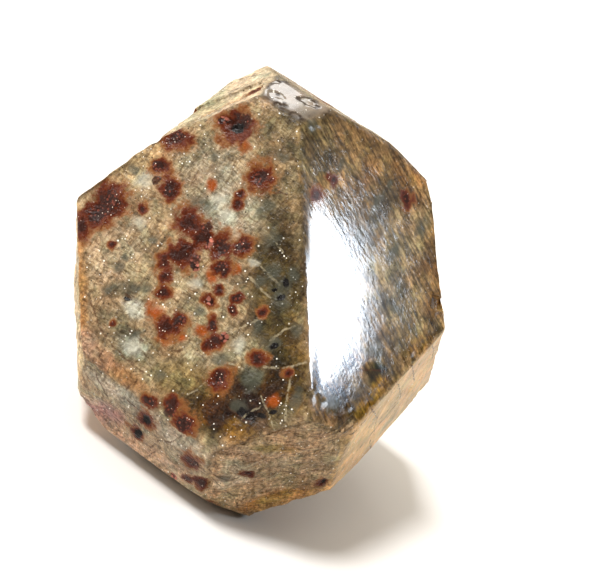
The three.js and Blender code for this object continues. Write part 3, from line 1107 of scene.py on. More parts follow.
# The patches of each side, each laid over the ones before it, then the long ones below.
PATCHES: dict[Side, tuple[Patch, ...]] = {
    Side.PYRAMID_LEFT: (
        Patch((215, 185), (45, 45), 0, (160, 150, 128), 0.8),
        Patch((224, 215), (34, 22), 0, (178, 172, 154), 0.8),
        Patch((282, 168), (26, 48), 0, (122, 108, 82), 0.85),
        Patch((277, 285), (36, 78), 0, (78, 66, 42), 0.95),
        Patch((299, 235), (6, 45), 0, (138, 120, 88), 0.7),
        Patch((284, 368), (29, 42), 0, (72, 60, 38), 0.95),
        Patch((245, 410), (71, 40), 0, (80, 56, 20), 1),
        Patch((185, 378), (30, 24), 0, (135, 115, 75), 0.8),
        Patch((250, 452), (60, 13), 0, (142, 122, 92), 0.8),
        Patch((200, 295), (42, 32), 0, (168, 153, 124), 0.6),
        Patch((218, 350), (34, 18), 0, (162, 150, 122), 0.7),
        Patch((115, 252), (30, 32), 0, (175, 157, 130), 0.7),
        Patch((128, 330), (40, 22), -35, (142, 126, 100), 0.85),
        Patch((79, 300), (10, 95), 0, (192, 146, 92), 0.95),
        Patch((102, 364), (52, 17), -40, (158, 126, 90), 0.9),
        Patch((88, 342), (12, 18), 0, (165, 135, 118), 0.7),
        Patch((140, 163), (40, 10), 35, (196, 170, 128), 0.8),
        Patch((285, 116), (22, 14), 0, (132, 116, 86), 0.8),
        Patch((245, 160), (14, 14), 0, (150, 138, 112), 0.6),
        Patch((170, 345), (16, 12), 0, (160, 130, 95), 0.6),
    ),
    Side.PYRAMID_RIGHT: (
        Patch((318, 150), (22, 36), 0, (112, 98, 72), 0.8),
        Patch((370, 158), (48, 20), -35, (142, 114, 80), 0.8),
        Patch((418, 190), (16, 26), 0, (138, 106, 70), 0.8),
        Patch((398, 250), (25, 63), -30, (150, 134, 106), 0.85),
        Patch((376, 222), (12, 42), -30, (104, 96, 80), 0.7),
        Patch((432, 270), (12, 54), 0, (134, 105, 72), 0.85),
        Patch((408, 320), (26, 36), 0, (142, 124, 93), 0.8),
        Patch((335, 425), (26, 40), 0, (70, 54, 30), 0.9),
        Patch((368, 388), (26, 18), 0, (82, 64, 36), 0.9),
        Patch((425, 345), (20, 12), 0, (152, 120, 74), 0.85),
        Patch((385, 365), (16, 12), 0, (110, 95, 66), 0.8),
        Patch((395, 290), (10, 30), -30, (100, 92, 80), 0.6),
    ),
    Side.PRISM_LEFT: (
        Patch((103, 412), (20, 13), -30, (166, 122, 118), 0.95),
        Patch((150, 455), (70, 7), -33, (206, 164, 138), 0.7),
        Patch((135, 405), (30, 10), -30, (150, 140, 126), 0.7),
        Patch((190, 455), (25, 12), -33, (168, 150, 132), 0.6),
    ),
    Side.CORNER_FRONT: (
        Patch((290, 470), (55, 12), 0, (152, 134, 112), 0.8),
        Patch((285, 500), (50, 9), 12, (166, 126, 78), 0.85),
        Patch((238, 474), (16, 11), 0, (182, 172, 156), 0.9),
        Patch((300, 485), (16, 8), 0, (120, 98, 72), 0.6),
    ),
    Side.PYRAMID_UPPER: (
        Patch((205, 108), (30, 7), 33, (196, 186, 150), 0.8),
        Patch((150, 148), (30, 8), 35, (214, 178, 128), 0.8),
        Patch((262, 84), (16, 6), 20, (226, 196, 160), 0.6),
    ),
    Side.PRISM_RIGHT: (
        Patch((395, 400), (70, 5), 50, (204, 178, 132), 0.6),
        Patch((420, 375), (20, 10), 50, (226, 196, 164), 0.6),
    ),
}

# The long patches of each side.
BANDS: dict[Side, tuple[Band, ...]] = {
    Side.PYRAMID_RIGHT: (
        Band((347, 432), (384, 378), 1.0, (158, 122, 56), 0.9),
        Band((322, 398), (330, 440), 1.8, (104, 78, 40), 0.85),
        Band((372, 362), (386, 370), 0.6, (48, 50, 34), 0.9),
        Band((352, 368), (368, 392), 1.2, (150, 128, 104), 0.7),
        Band((330, 200), (352, 262), 0.5, (96, 94, 84), 0.6),
        Band((352, 150), (372, 200), 0.7, (150, 120, 88), 0.7),
    ),
    Side.PYRAMID_LEFT: (
        Band((300, 120), (306, 150), 0.9, (176, 148, 106), 0.8),
        Band((300, 160), (304, 185), 0.6, (158, 124, 84), 0.7),
        Band((225, 428), (258, 436), 1.4, (132, 100, 44), 0.8),
        Band((236, 412), (262, 420), 0.7, (40, 38, 26), 0.85),
        Band((280, 400), (290, 430), 1.2, (120, 112, 78), 0.7),
        Band((240, 375), (262, 380), 1.1, (104, 112, 98), 0.7),
        Band((120, 335), (150, 350), 1.1, (184, 184, 166), 0.6),
        Band((112, 325), (140, 332), 0.6, (92, 88, 68), 0.7),
        Band((125, 300), (150, 312), 0.9, (186, 188, 172), 0.7),
        Band((115, 290), (140, 288), 0.8, (88, 92, 80), 0.6),
        Band((85, 345), (120, 372), 1.2, (170, 132, 104), 0.8),
        Band((110, 372), (150, 392), 1.0, (176, 136, 92), 0.7),
        Band((215, 190), (240, 175), 1.6, (178, 170, 148), 0.6),
        Band((205, 215), (225, 200), 1.4, (176, 176, 156), 0.6),
    ),
    Side.CORNER_FRONT: (
        Band((215, 455), (300, 462), 1.0, (176, 152, 130), 0.85),
        Band((250, 450), (300, 452), 0.7, (140, 116, 70), 0.8),
        Band((215, 490), (240, 480), 1.0, (186, 172, 156), 0.8),
        Band((255, 505), (300, 492), 0.8, (158, 126, 74), 0.85),
        Band((300, 478), (320, 470), 1.0, (180, 152, 130), 0.7),
    ),
    Side.PRISM_RIGHT: (
        Band((345, 445), (400, 385), 1.3, (226, 194, 152), 0.85),
        Band((375, 440), (420, 385), 1.2, (206, 180, 146), 0.8),
        Band((410, 378), (436, 345), 1.3, (232, 196, 158), 0.8),
        Band((345, 470), (372, 445), 1.3, (200, 168, 130), 0.8),
    ),
    Side.PRISM_LEFT: (
        Band((85, 372), (140, 408), 0.9, (172, 160, 146), 0.8),
        Band((150, 420), (200, 455), 1.2, (178, 164, 148), 0.8),
        Band((85, 395), (100, 405), 0.7, (206, 176, 156), 0.7),
        Band((140, 450), (180, 480), 0.6, (212, 176, 144), 0.85),
    ),
}

# The cracks of each kind and side, as places in the photo that they run through.
CRACKS: dict[Crack, dict[Side, tuple[Path, ...]]] = {
    Crack.OPEN: {
        Side.PRISM_LEFT: (
            ((150, 446), (160, 441), (170, 442), (181, 437), (190, 436)),
            ((145, 459), (154, 452), (160, 447)), ((92, 372), (101, 385), (109, 398)),
            ((128, 401), (140, 412), (150, 428)),
        ),
        Side.PYRAMID_LEFT: (
            ((93, 300), (100, 322), (104, 332), (115, 347), (130, 360), (142, 370), (152, 376)),
            ((122, 391), (131, 385), (139, 379)), ((131, 331), (140, 337), (150, 344)),
            ((125, 293), (133, 300), (142, 305)), ((258, 186), (268, 189), (275, 194), (287, 195)),
            ((80, 348), (84, 352), (80, 357)), ((100, 348), (104, 352), (101, 356), (104, 360)),
            ((228, 405), (236, 412), (244, 420), (252, 421)), ((170, 350), (180, 352), (186, 346)),
        ),
        Side.PYRAMID_RIGHT: (
            ((325, 355), (337, 356), (346, 354), (353, 356), (362, 361), (372, 357), (378, 350)),
            ((340, 345), (341, 350), (338, 355)), ((352, 372), (366, 368), (384, 370), (387, 380)),
            ((361, 290), (364, 305), (362, 318)),
        ),
        Side.PRISM_RIGHT: (
            ((373, 409), (377, 418), (374, 432), (370, 442), (372, 458)),
            ((399, 366), (397, 380), (401, 396), (392, 406), (380, 418)),
            ((410, 360), (413, 370), (414, 382)), ((429, 340), (433, 350), (432, 358)),
            ((344, 444), (355, 432), (372, 412)), ((352, 455), (366, 440), (384, 418), (398, 402)),
        ),
        Side.CORNER_FRONT: (
            ((203, 470), (214, 479), (230, 482), (244, 476)),
            ((214, 484), (226, 492), (236, 500), (238, 508)),
            ((262, 482), (280, 476), (300, 478), (320, 472)), ((228, 459), (246, 457)),
            ((285, 498), (292, 490), (304, 492)),
        ),
        Side.PYRAMID_UPPER: (
            ((192, 120), (215, 104), (240, 88)), ((205, 118), (228, 102), (250, 86)),
            ((240, 80), (256, 76), (268, 74)),
        ),
    },
    Crack.HEALED: {
        Side.PYRAMID_LEFT: (
            ((263, 366), (280, 368), (296, 365), (308, 360)), ((291, 368), (288, 392), (285, 420)),
            ((262, 395), (270, 415), (276, 436)), ((186, 396), (200, 386), (213, 377)),
            ((240, 418), (252, 410), (262, 404)), ((258, 262), (270, 274), (280, 286)),
            ((250, 276), (262, 290), (270, 298)), ((240, 328), (252, 322), (262, 318)),
            ((270, 340), (284, 330), (296, 326)), ((265, 230), (275, 242), (284, 254)),
            ((214, 352), (226, 362), (240, 366)),
        ),
        Side.CORNER_FRONT: (
            ((240, 470), (262, 462), (284, 448)), ((300, 455), (316, 450), (330, 456)),
        ),
    },
}


@dataclass(frozen=True)
class Sight:
    """How the photo's camera sees the crystal, which turns places in the photo into places in mm.

    The eye and the two directions are in the crystal's own frame, in mm. The focal length and the
    middle of the picture are in pixels. Places come out to so many decimals of a mm.
    """

    eye: Triple = (95.28933, 45.45171, 126.19328)
    right: Triple = (-0.57680424, 0.7968426, 0.17982975)
    up: Triple = (-0.55736454, -0.54484072, 0.6264929)
    focal_length: float = 1458.2
    middle: Place = (300.0, 289.5)
    decimals: int = 1
    spot_step: float = 30.0
    patch_step: float = 20.0

    def place(self, side: Side, pixel: Place) -> np.ndarray:
        """Finds where on a side a pixel of the photo lies.

        Args:
            side: The side.
            pixel: The place in the photo, in pixels.

        Returns:
            The place across and up the side, in mm.
        """
        eye, right, up = (np.array(axis) for axis in (self.eye, self.right, self.up))
        over = (pixel[0] - self.middle[0]) / self.focal_length
        down = (pixel[1] - self.middle[1]) / self.focal_length
        ray = np.cross(up, right) + over * right - down * up
        plane = PLANES[side]
        point = eye + ray * plane.gap(eye) / (ray @ plane.normal)
        return plane.flat(point)[0].round(self.decimals)

    def spread(self, side: Side, pixel: Place, step: float) -> np.ndarray:
        """Finds how far one pixel to the right and one pixel down reach on a side.

        Args:
            side: The side.
            pixel: The place in the photo, in pixels.
            step: The pixels over which the reach is measured.

        Returns:
            Two columns: the step to the right and the step down, in mm for each pixel.
        """
        start = self.place(side, pixel)
        right = self.place(side, (pixel[0] + step, pixel[1])) - start
        down = self.place(side, (pixel[0], pixel[1] + step)) - start
        return np.column_stack((right, down)) / step

    def spot(self, side: Side, crop: Crop, spot: Spot) -> Spot:
        """Places a spot of the photo on its side.

        Args:
            side: The side.
            crop: The enlarged part of the photo that it is marked on.
            spot: The spot in pixels.

        Returns:
            The spot in mm.
        """
        pixel = crop.pixel(spot.at)
        spread = self.spread(side, pixel, self.spot_step)
        angle = math.radians(spot.turn)
        along = spread @ np.array((math.cos(angle), -math.sin(angle)))
        radius = spot.radius * math.sqrt(abs(np.linalg.det(spread)))
        turn = math.degrees(math.atan2(along[1], along[0]))
        return Spot(tuple(self.place(side, pixel)), radius, spot.stretch, turn)

    def patch(self, side: Side, patch: Patch) -> Patch:
        """Places a patch of the photo on its side.

        Args:
            side: The side.
            patch: The patch in pixels.

        Returns:
            The patch in mm.
        """
        angle = math.radians(patch.turn)
        turned = np.array(
            ((math.cos(angle), math.sin(angle)), (-math.sin(angle), math.cos(angle)))
        )
        shape = self.spread(side, patch.at, self.patch_step) @ turned @ np.diag(patch.size)
        axes, sizes, _ = np.linalg.svd(shape)
        turn = math.degrees(math.atan2(axes[1, 0], axes[0, 0]))
        at = tuple(self.place(side, patch.at))
        return Patch(at, tuple(sizes), turn, patch.colour, patch.strength)

    def band(self, side: Side, band: Band) -> Patch:
        """Places a long patch of the photo on its side.

        Args:
            side: The side.
            band: The long patch.

        Returns:
            The patch in mm.
        """
        start = self.place(side, band.start)
        end = self.place(side, band.end)
        way = end - start
        size = (np.linalg.norm(way) / 2.0, band.half_width)
        turn = math.degrees(math.atan2(way[1], way[0]))
        return Patch(tuple((start + end) / 2.0), size, turn, band.colour, band.strength)

    def patches(self, side: Side) -> list[Patch]:
        """All patches of a side in mm, the long ones last."""
        broad = [self.patch(side, patch) for patch in PATCHES.get(side, ())]
        return broad + [self.band(side, band) for band in BANDS.get(side, ())]

    def path(self, side: Side, path: Path) -> list[np.ndarray]:
        """A crack's path on its side in mm."""
        return [self.place(side, pixel) for pixel in path]


# The colouring


@dataclass(frozen=True)
class Finish:
    """How a side looks before its patches and stains.

    The colour is the even one that it shows in the room's light, and the light is how brightly that
    falls on it in red, green and blue. Lines and grit are how strongly the cleavage lines and the
    finest relief show. A hidden side is one that the front view doesn't show.
    """

    colour: Colour
    light: Triple
    roughness: float = 0.42
    lines: float = 0.7
    grit: float = 0.8
    hidden: bool = False


# The finish of every side.
FINISHES: dict[Side, Finish] = {
    Side.PYRAMID_LEFT: Finish((164, 144, 113), (1.18, 1.26, 1.36), roughness=0.22, lines=0.75, grit=0.4),
    Side.PYRAMID_RIGHT: Finish((126, 104, 76), (1.18, 1.27, 1.48), roughness=0.16, lines=0.75),
    Side.PYRAMID_UPPER: Finish((216, 198, 168), (1.28, 1.3, 1.34), roughness=0.4, lines=0.4, grit=0.6),
    Side.PYRAMID_BACK: Finish((168, 146, 112), (1.1, 1.1, 1.1), roughness=0.2, hidden=True),
    Side.TIP_FLAT: Finish((104, 88, 74), (1.3, 1.3, 1.3), roughness=0.12, lines=0.1, grit=0.03),
    Side.TIP_SHOULDER: Finish((140, 116, 82), (1.1, 1.1, 1.1), roughness=0.25, hidden=True),
    Side.PRISM_LEFT: Finish((162, 142, 118), (1.13, 1.13, 1.23), roughness=0.34, lines=0.6, grit=0.6),
    Side.PRISM_RIGHT: Finish((224, 194, 152), (1.02, 1.17, 1.56), roughness=0.34, lines=0.12, grit=0.4),
    Side.PRISM_BACK: Finish((160, 136, 104), (1.0, 1.0, 1.0), roughness=0.3, hidden=True),
    Side.CORNER_BACK: Finish((176, 148, 114), (1.0, 1.0, 1.0), hidden=True),
    Side.UNDER_LEFT: Finish((160, 136, 106), (0.8, 0.8, 0.8), roughness=0.3, hidden=True),
    Side.UNDER_RIGHT: Finish((160, 136, 106), (0.8, 0.8, 0.8), roughness=0.3, hidden=True),
    Side.UNDER_FAR: Finish((150, 126, 96), (0.8, 0.8, 0.8), hidden=True),
    Side.UNDER_BACK: Finish((150, 126, 96), (0.8, 0.8, 0.8), hidden=True),
    Side.CORNER_FRONT: Finish((172, 148, 122), (0.87, 0.93, 1.12), grit=1.5),
    Side.SIDE_LEFT: Finish((200, 176, 138), (1.1, 1.12, 1.15)),
    Side.SIDE_RIGHT: Finish((196, 150, 96), (1.0, 1.0, 1.0)),
    Side.CHIN_RIGHT: Finish((160, 124, 78), (0.8, 0.8, 0.8), hidden=True),
    Side.CHIN_LEFT: Finish((176, 136, 96), (0.8, 0.8, 0.8), hidden=True),
    Side.RESTING: Finish((150, 128, 100), (0.8, 0.8, 0.8), hidden=True),
    Side.FAR: Finish((164, 138, 104), (1.0, 1.0, 1.0), hidden=True),
    Side.BLOCK: Finish((172, 146, 112), (1.0, 1.0, 1.0), hidden=True),
}


def linear(colour: Colour) -> np.ndarray:
    """A colour given in screen values from 0 to 255 as linear values."""
    share = np.array(colour) / 255.0
    return np.where(share <= 0.04045, share / 12.92, ((share + 0.055) / 1.055) ** 2.4)


@dataclass
class Colouring:
    """The colour, stains and gloss of every point of the crystal's surface."""

    body_points: np.ndarray
    on_cut: np.ndarray
    shares: dict[Side, np.ndarray]
    sight: Sight = Sight()
    changeover: float = 0.1
    broken_changeover: float = 0.55
    on_side: float = 0.4
    patch_fraying: float = 2.4
    spot_fraying: float = 1.3
    crack_fraying: float = 0.4
    line_reach: float = 0.6
    veil: float = 0.014
    cut_roughness: float = 0.3
    pit_roughness: float = 0.5
    worn_grit: float = 0.016
    polish_gain: float = 0.008
    least_crinkle: float = 0.01
    worn_crinkle: float = 0.038
    mottling: tuple[float, float] = (1.1, 2.4)
    warmth: Triple = (0.2, -0.1, -0.2)
    extremes: tuple[float, float] = (0.004, 0.92)
    lay_step: float = 7.0

    @cached_property
    def weights(self) -> dict[Side, np.ndarray]:
        """How much each point takes its look from each side, summing to one.

        Returns:
            One number for each point under each side.
        """
        points = self.body_points
        gaps = {side: np.abs(plane.gap(points)) / self.changeover for side, plane in PLANES.items()}
        ragged = 2.4 * np.maximum(layered_noise(points + 90.0, 1.8, 3) - 0.4, 0.0)
        broken = gaps[Side.CORNER_FRONT] * self.changeover - ragged
        gaps[Side.CORNER_FRONT] = np.maximum(broken, 0.0) / self.broken_changeover
        least = np.min(list(gaps.values()), axis=0)
        near = {side: np.exp(least - gap) for side, gap in gaps.items()}
        total = sum(near.values())
        return {side: share / total for side, share in near.items()}

    def flat(self, side: Side) -> np.ndarray:
        """Every point's place across and up a side, in mm."""
        return PLANES[side].flat(self.body_points)

    @staticmethod
    def reach(flat: np.ndarray, at: Place, size: tuple[float, float], turn: float) -> np.ndarray:
        """How far each place lies from the middle of an ellipse, 1 at its rim.

        Args:
            flat: Places on the side, in mm.
            at: The ellipse's middle.
            size: Its half length and half width.
            turn: How far it is turned, in degrees.

        Returns:
            One distance for each place.
        """
        away = flat - np.array(at)
        angle = math.radians(turn)
        along = away @ np.array((math.cos(angle), math.sin(angle)))
        beside = away @ np.array((-math.sin(angle), math.cos(angle)))
        return np.hypot(along / size[0], beside / size[1])

    def fraying(self, shifts: tuple[float, float], width: float, amount: float) -> np.ndarray:
        """How far the outlines of marks stray across and up at each point, in mm."""
        layers = [layered_noise(self.body_points + shift, width, 3) - 0.5 for shift in shifts]
        return np.column_stack(layers) * amount

    def tint(self) -> np.ndarray:
        """The stone's own colour at each point, without its stains.

        Returns:
            Red, green and blue for each point.
        """
        points = self.body_points
        fraying = self.fraying((0.0, 31.0), 2.4, self.patch_fraying)
        colour = np.zeros((len(points), 3))
        for side, weight in self.weights.items():
            finish = FINISHES[side]
            shade = np.tile(linear(finish.colour), (len(points), 1))
            flat = self.flat(side)
            for patch in self.sight.patches(side):
                shift = fraying * min(1.0, min(patch.size) / 2.0)
                gone = self.reach(flat + shift, patch.at, patch.size, patch.turn)
                blend = patch.strength * (1.0 - smoothstep(gone, 0.55, 1.35))
                shade += blend[:, None] * (linear(patch.colour) - shade)
            bare = np.maximum(shade - self.veil, 0.003)
            colour += weight[:, None] * bare / np.array(finish.light)
        mottle = layered_noise(points + 60.0, 1.5, 3) - 0.5
        warm = layered_noise(points + 80.0, 2.0, 2) - 0.5
        depth = 1.0 - np.clip(colour.mean(axis=1) / 0.2, 0.0, 1.0)
        strength = self.mottling[0] + self.mottling[1] * depth
        colour *= np.exp(strength * mottle - 0.2 * depth)[:, None]
        colour *= np.exp(np.outer(warm, self.warmth))
        return np.clip(colour, *self.extremes)

    def stains(self) -> dict[Stain, np.ndarray]:
        """How deep each point lies in the nearest spot of each stain: 1 in its middle, 0 at its rim.

        Returns:
            One number for each point under each stain.
        """
        fraying = self.fraying((5.0, 47.0), 1.3, self.spot_fraying)
        depths = {stain: np.full(len(self.body_points), -1.0) for stain in Stain}
        for side, groups in SPOTS.items():
            here = self.shares[side] > self.on_side
            flat = self.flat(side)[here]
            marks = ((*key, spot) for key, spots in groups.items() for spot in spots)
            for crop, stain, mark in marks:
                spot = self.sight.spot(side, crop, mark)
                size = (spot.radius * spot.stretch**0.5, spot.radius / spot.stretch**0.5)
                shift = fraying[here] * min(1.0, spot.radius)
                gone = self.reach(flat + shift, spot.at, size, spot.turn)
                depths[stain][here] = np.maximum(depths[stain][here], 1.0 - gone)
        return depths

    def cracks(self, kind: Crack) -> np.ndarray:
        """How near each point lies to a crack: 1 on it, 0 where the line's reach ends.

        Args:
            kind: The kind of crack.

        Returns:
            One number for each point.
        """
        fraying = self.fraying((11.0, 53.0), 0.9, self.crack_fraying)
        near = np.zeros(len(self.body_points))
        for side, paths in CRACKS[kind].items():
            here = self.shares[side] > self.on_side
            flat = (self.flat(side) + fraying)[here]
            placed = [self.sight.path(side, path) for path in paths]
            for start, end in (leg for path in placed for leg in zip(path, path[1:])):
                way = end - start
                along = np.clip((flat - start) @ way / (way @ way), 0.0, 1.0)
                gone = np.linalg.norm(flat - start - along[:, None] * way, axis=1)
                near[here] = np.maximum(near[here], 1.0 - gone / self.line_reach)
        return near

    def hidden_spots(self) -> np.ndarray:
        """Rust spots scattered over the sides that the front view doesn't show.

        Returns:
            How deep each point lies in one, below zero outside.
        """
        hidden = sum(weight for side, weight in self.weights.items() if FINISHES[side].hidden)
        spots = layered_noise(self.body_points + 23.0, 2.6, 2)
        return np.where(hidden > 0.5, (spots - 0.75) * 4.0, -1.0)

    def polished_pits(self) -> list[np.ndarray]:
        """How far each point lies from each pit of the right face, 1 at the pit's rim."""
        flat, pits = self.flat(Side.PYRAMID_RIGHT), PITS[Side.PYRAMID_RIGHT]
        return [self.reach(flat, pit.at, (pit.radius, pit.radius), 0.0) for pit in pits]

    def gloss(self) -> np.ndarray:
        """How rough the surface is: little on grown faces, much on breaks.

        Returns:
            The roughness of each point.
        """
        rough = sum(weight * FINISHES[side].roughness for side, weight in self.weights.items())
        for gone in self.polished_pits():
            rough = np.maximum(rough, self.pit_roughness * (1.0 - smoothstep(gone, 0.9, 1.3)))
        return np.where(self.on_cut, self.cut_roughness, rough)

    def grit(self) -> np.ndarray:
        """How strongly the finest relief shows.

        Returns:
            One number for each point.
        """
        grit = np.zeros(len(self.body_points))
        for side, weight in self.weights.items():
            if side is Side.PYRAMID_RIGHT:
                grit += weight * (self.worn_grit - self.polish_gain * Relief.polish(self.body_points))
            else:
                grit += weight * FINISHES[side].grit
        return grit

    def polished(self, stained: np.ndarray) -> np.ndarray:
        """How bright the glassy skin is: whole on the right face and the tip.

        Args:
            stained: How deep each point lies in rust.

        Returns:
            The share of the skin at each point, from 0 to 1.
        """
        streaked, etched = self.weights[Side.PYRAMID_RIGHT], self.weights[Side.TIP_FLAT]
        skin = np.maximum(streaked, etched) * (1.0 - smoothstep(stained, -0.2, 0.2))
        for gone in self.polished_pits():
            skin *= smoothstep(gone, 0.9, 1.2)
        skin *= 1.0 - 0.9 * self.island_rims() * etched
        skin *= smoothstep(PLANES[Side.CORNER_FRONT].gap(self.body_points), 1.0, 4.0)
        left = PLANES[Side.PYRAMID_LEFT]
        beside = 1.0 - smoothstep(left.gap(self.body_points), 0.4, 1.0)
        skin *= 1.0 - beside * smoothstep(self.body_points @ left.up, 6.0, 9.0)
        worn = layered_noise(self.body_points + 17.0, 1.0, 3)
        outer = 1.0 - (0.58 + 0.42 * smoothstep(worn, 0.38, 0.58)) * streaked
        return skin * np.maximum(Relief.polish(self.body_points), outer)

    def island_rims(self) -> np.ndarray:
        """Where the rims of the etched islands on the tip run, from 0 to 1."""
        away = np.abs(Relief.islands(self.body_points) - sum(Relief.island_rim) / 2.0)
        return 1.0 - smoothstep(away, 0.03, 0.07)

    def lay(self) -> np.ndarray:
        """Each point's place in the directions of its own side, for streaks that follow it.

        Returns:
            Across, up and the side's own level for each point.
        """
        place = np.zeros((len(self.body_points), 3))
        nearest = np.full(len(self.body_points), -1.0)
        for number, (side, weight) in enumerate(self.weights.items()):
            better = weight > nearest
            flat = self.flat(side)
            level = np.full(len(flat), self.lay_step * number)
            place[better] = np.column_stack((flat, level))[better]
            nearest = np.maximum(nearest, weight)
        return place

    def numbers(self) -> dict[str, np.ndarray]:
        """Every number that the stone's shader reads.

        Returns:
            One number for each point under each name.
        """
        stains = self.stains()
        stains[Stain.RUST] = np.maximum(stains[Stain.RUST], self.hidden_spots())
        rusted = np.maximum(stains[Stain.RUST], stains[Stain.CORE])
        streaked = self.weights[Side.PYRAMID_RIGHT]
        rubbed = 1.0 - Relief.polish(self.body_points)
        return {
            **{stain.value: depth for stain, depth in stains.items()},
            **{kind.value: self.cracks(kind) for kind in Crack},
            "gloss": self.gloss(),
            "grit": self.grit(),
            "lined": sum(weight * FINISHES[side].lines for side, weight in self.weights.items()),
            "streaked": streaked,
            "crinkled": (self.least_crinkle + self.worn_crinkle * rubbed) * streaked,
            "polished": self.polished(rusted),
            "etched": self.weights[Side.TIP_FLAT] * self.island_rims(),
        }

    def dress(self, mesh: bpy.types.Mesh) -> None:
        """Stores the colouring on the mesh's points for the stone's shader to read.

        Args:
            mesh: The crystal's mesh, with its points in the same order.
        """
        tint = np.column_stack((self.tint(), np.ones(len(self.body_points))))
        store = mesh.attributes.new("tint", "FLOAT_COLOR", "POINT")
        store.data.foreach_set("color", tint.astype(np.float32).ravel())
        store = mesh.attributes.new("lay", "FLOAT_VECTOR", "POINT")
        store.data.foreach_set("vector", self.lay().astype(np.float32).ravel())
        for name, value in self.numbers().items():
            store = mesh.attributes.new(name, "FLOAT", "POINT")
            store.data.foreach_set("value", value.astype(np.float32))


# The finish of the stone


class Web:
    """Builds a shader's node tree a node at a time, each value or socket plugged where it is used."""

    def __init__(self, material: bpy.types.Material) -> None:
        """Starts on the material's tree and keeps its main shader.

        Args:
            material: The material.
        """
        material.use_nodes = True
        self.nodes = material.node_tree.nodes
        self.links = material.node_tree.links
        self.shader = self.nodes["Principled BSDF"]

    def plug(self, socket: Socket, source: Source) -> None:
        """Links a socket to another or sets it to a value.

        Args:
            socket: The socket to feed.
            source: Another socket, or the value.
        """
        if isinstance(source, Socket):
            self.links.new(source, socket)
        else:
            socket.default_value = source

    def made(
        self, kind: str, plugs: dict[int | str, Source], output: int | str = 0, **settings: str
    ) -> Socket:
        """Adds a node and feeds it.

        Args:
            kind: The kind of node.
            plugs: What goes into each of its inputs, by their number or name.
            output: The number or name of the output that is wanted.
            settings: The node's own settings.

        Returns:
            The output.
        """
        node = self.nodes.new(f"ShaderNode{kind}")
        for name, setting in settings.items():
            setattr(node, name, setting)
        for name, source in plugs.items():
            self.plug(node.inputs[name], source)
        return node.outputs[output]

    def value(self, name: str) -> Socket:
        """A number stored on the mesh's points."""
        return self.made("Attribute", {}, "Fac", attribute_name=name)

    def colour(self, name: str) -> Socket:
        """A colour stored on the mesh's points."""
        return self.made("Attribute", {}, "Color", attribute_name=name)

    def vector(self, name: str) -> Socket:
        """A vector stored on the mesh's points."""
        return self.made("Attribute", {}, "Vector", attribute_name=name)

    def math(self, kind: str, first: Source, second: Source = 0.0) -> Socket:
        """A sum of two numbers of the given kind."""
        return self.made("Math", {0: first, 1: second}, operation=kind)

    def plus(self, first: Source, second: Source) -> Socket:
        """Two numbers added."""
        return self.math("ADD", first, second)

    def minus(self, first: Source, second: Source) -> Socket:
        """The first number less the second."""
        return self.math("SUBTRACT", first, second)

    def times(self, first: Source, second: Source) -> Socket:
        """Two numbers multiplied."""
        return self.math("MULTIPLY", first, second)

    def stretched(self, place: Source, scale: Triple) -> Socket:
        """A place with each of its directions scaled."""
        return self.made("VectorMath", {0: place, 1: scale}, operation="MULTIPLY")

    def moved(self, place: Source, way: Source) -> Socket:
        """A place moved the same way along each of its directions."""
        return self.made("VectorMath", {0: place, 1: way}, operation="ADD")

    def scaled(self, colour: Source, factor: Source) -> Socket:
        """A colour made brighter or darker."""
        return self.made("VectorMath", {0: colour, "Scale": factor}, operation="SCALE")

    def ramped(self, source: Source, low: float, high: float) -> Socket:
        """A soft step from 0 at low to 1 at high."""
        plugs = {"Value": source, "From Min": low, "From Max": high}
        return self.made("MapRange", plugs, "Result", interpolation_type="SMOOTHSTEP")

    def noise(self, place: Source, scale: float, detail: float = 3.0) -> Socket:
        """Noise from 0 to 1, its lumps one part in scale of a unit wide."""
        return self.made("TexNoise", {"Vector": place, "Scale": scale, "Detail": detail}, "Fac")

    def cells(self, place: Source, scale: float) -> tuple[Socket, Socket]:
        """Cells, each with a value of its own.

        Args:
            place: Where the cells lie.
            scale: How many cells fit into a unit.

        Returns:
            The distance from the middle of each cell, and the cell's own value.
        """
        colour = self.made("TexVoronoi", {"Vector": place, "Scale": scale}, "Color")
        own = self.made("SeparateColor", {0: colour})
        return colour.node.outputs["Distance"], own

    def mixed(self, share: Source, first: Source, second: Source) -> Socket:
        """The first colour, given way to the second by a share."""
        return self.made("Mix", {0: share, 6: first, 7: second}, 2, data_type="RGBA")

    def tinted(self, colour: Source, tint: Source) -> Socket:
        """A colour times another, part by part."""
        plugs = {0: 1.0, 6: colour, 7: tint}
        return self.made("Mix", plugs, 2, data_type="RGBA", blend_type="MULTIPLY")

    def bumped(self, height: Source, depth: float) -> Socket:
        """A normal turned by a height that reaches a depth in metres."""
        return self.made("Bump", {"Strength": 1.0, "Distance": depth, "Height": height}, "Normal")


def rgb(colour: Colour) -> tuple[float, float, float, float]:
    """A colour given in screen values as the shader takes it."""
    return (*linear(colour), 1.0)


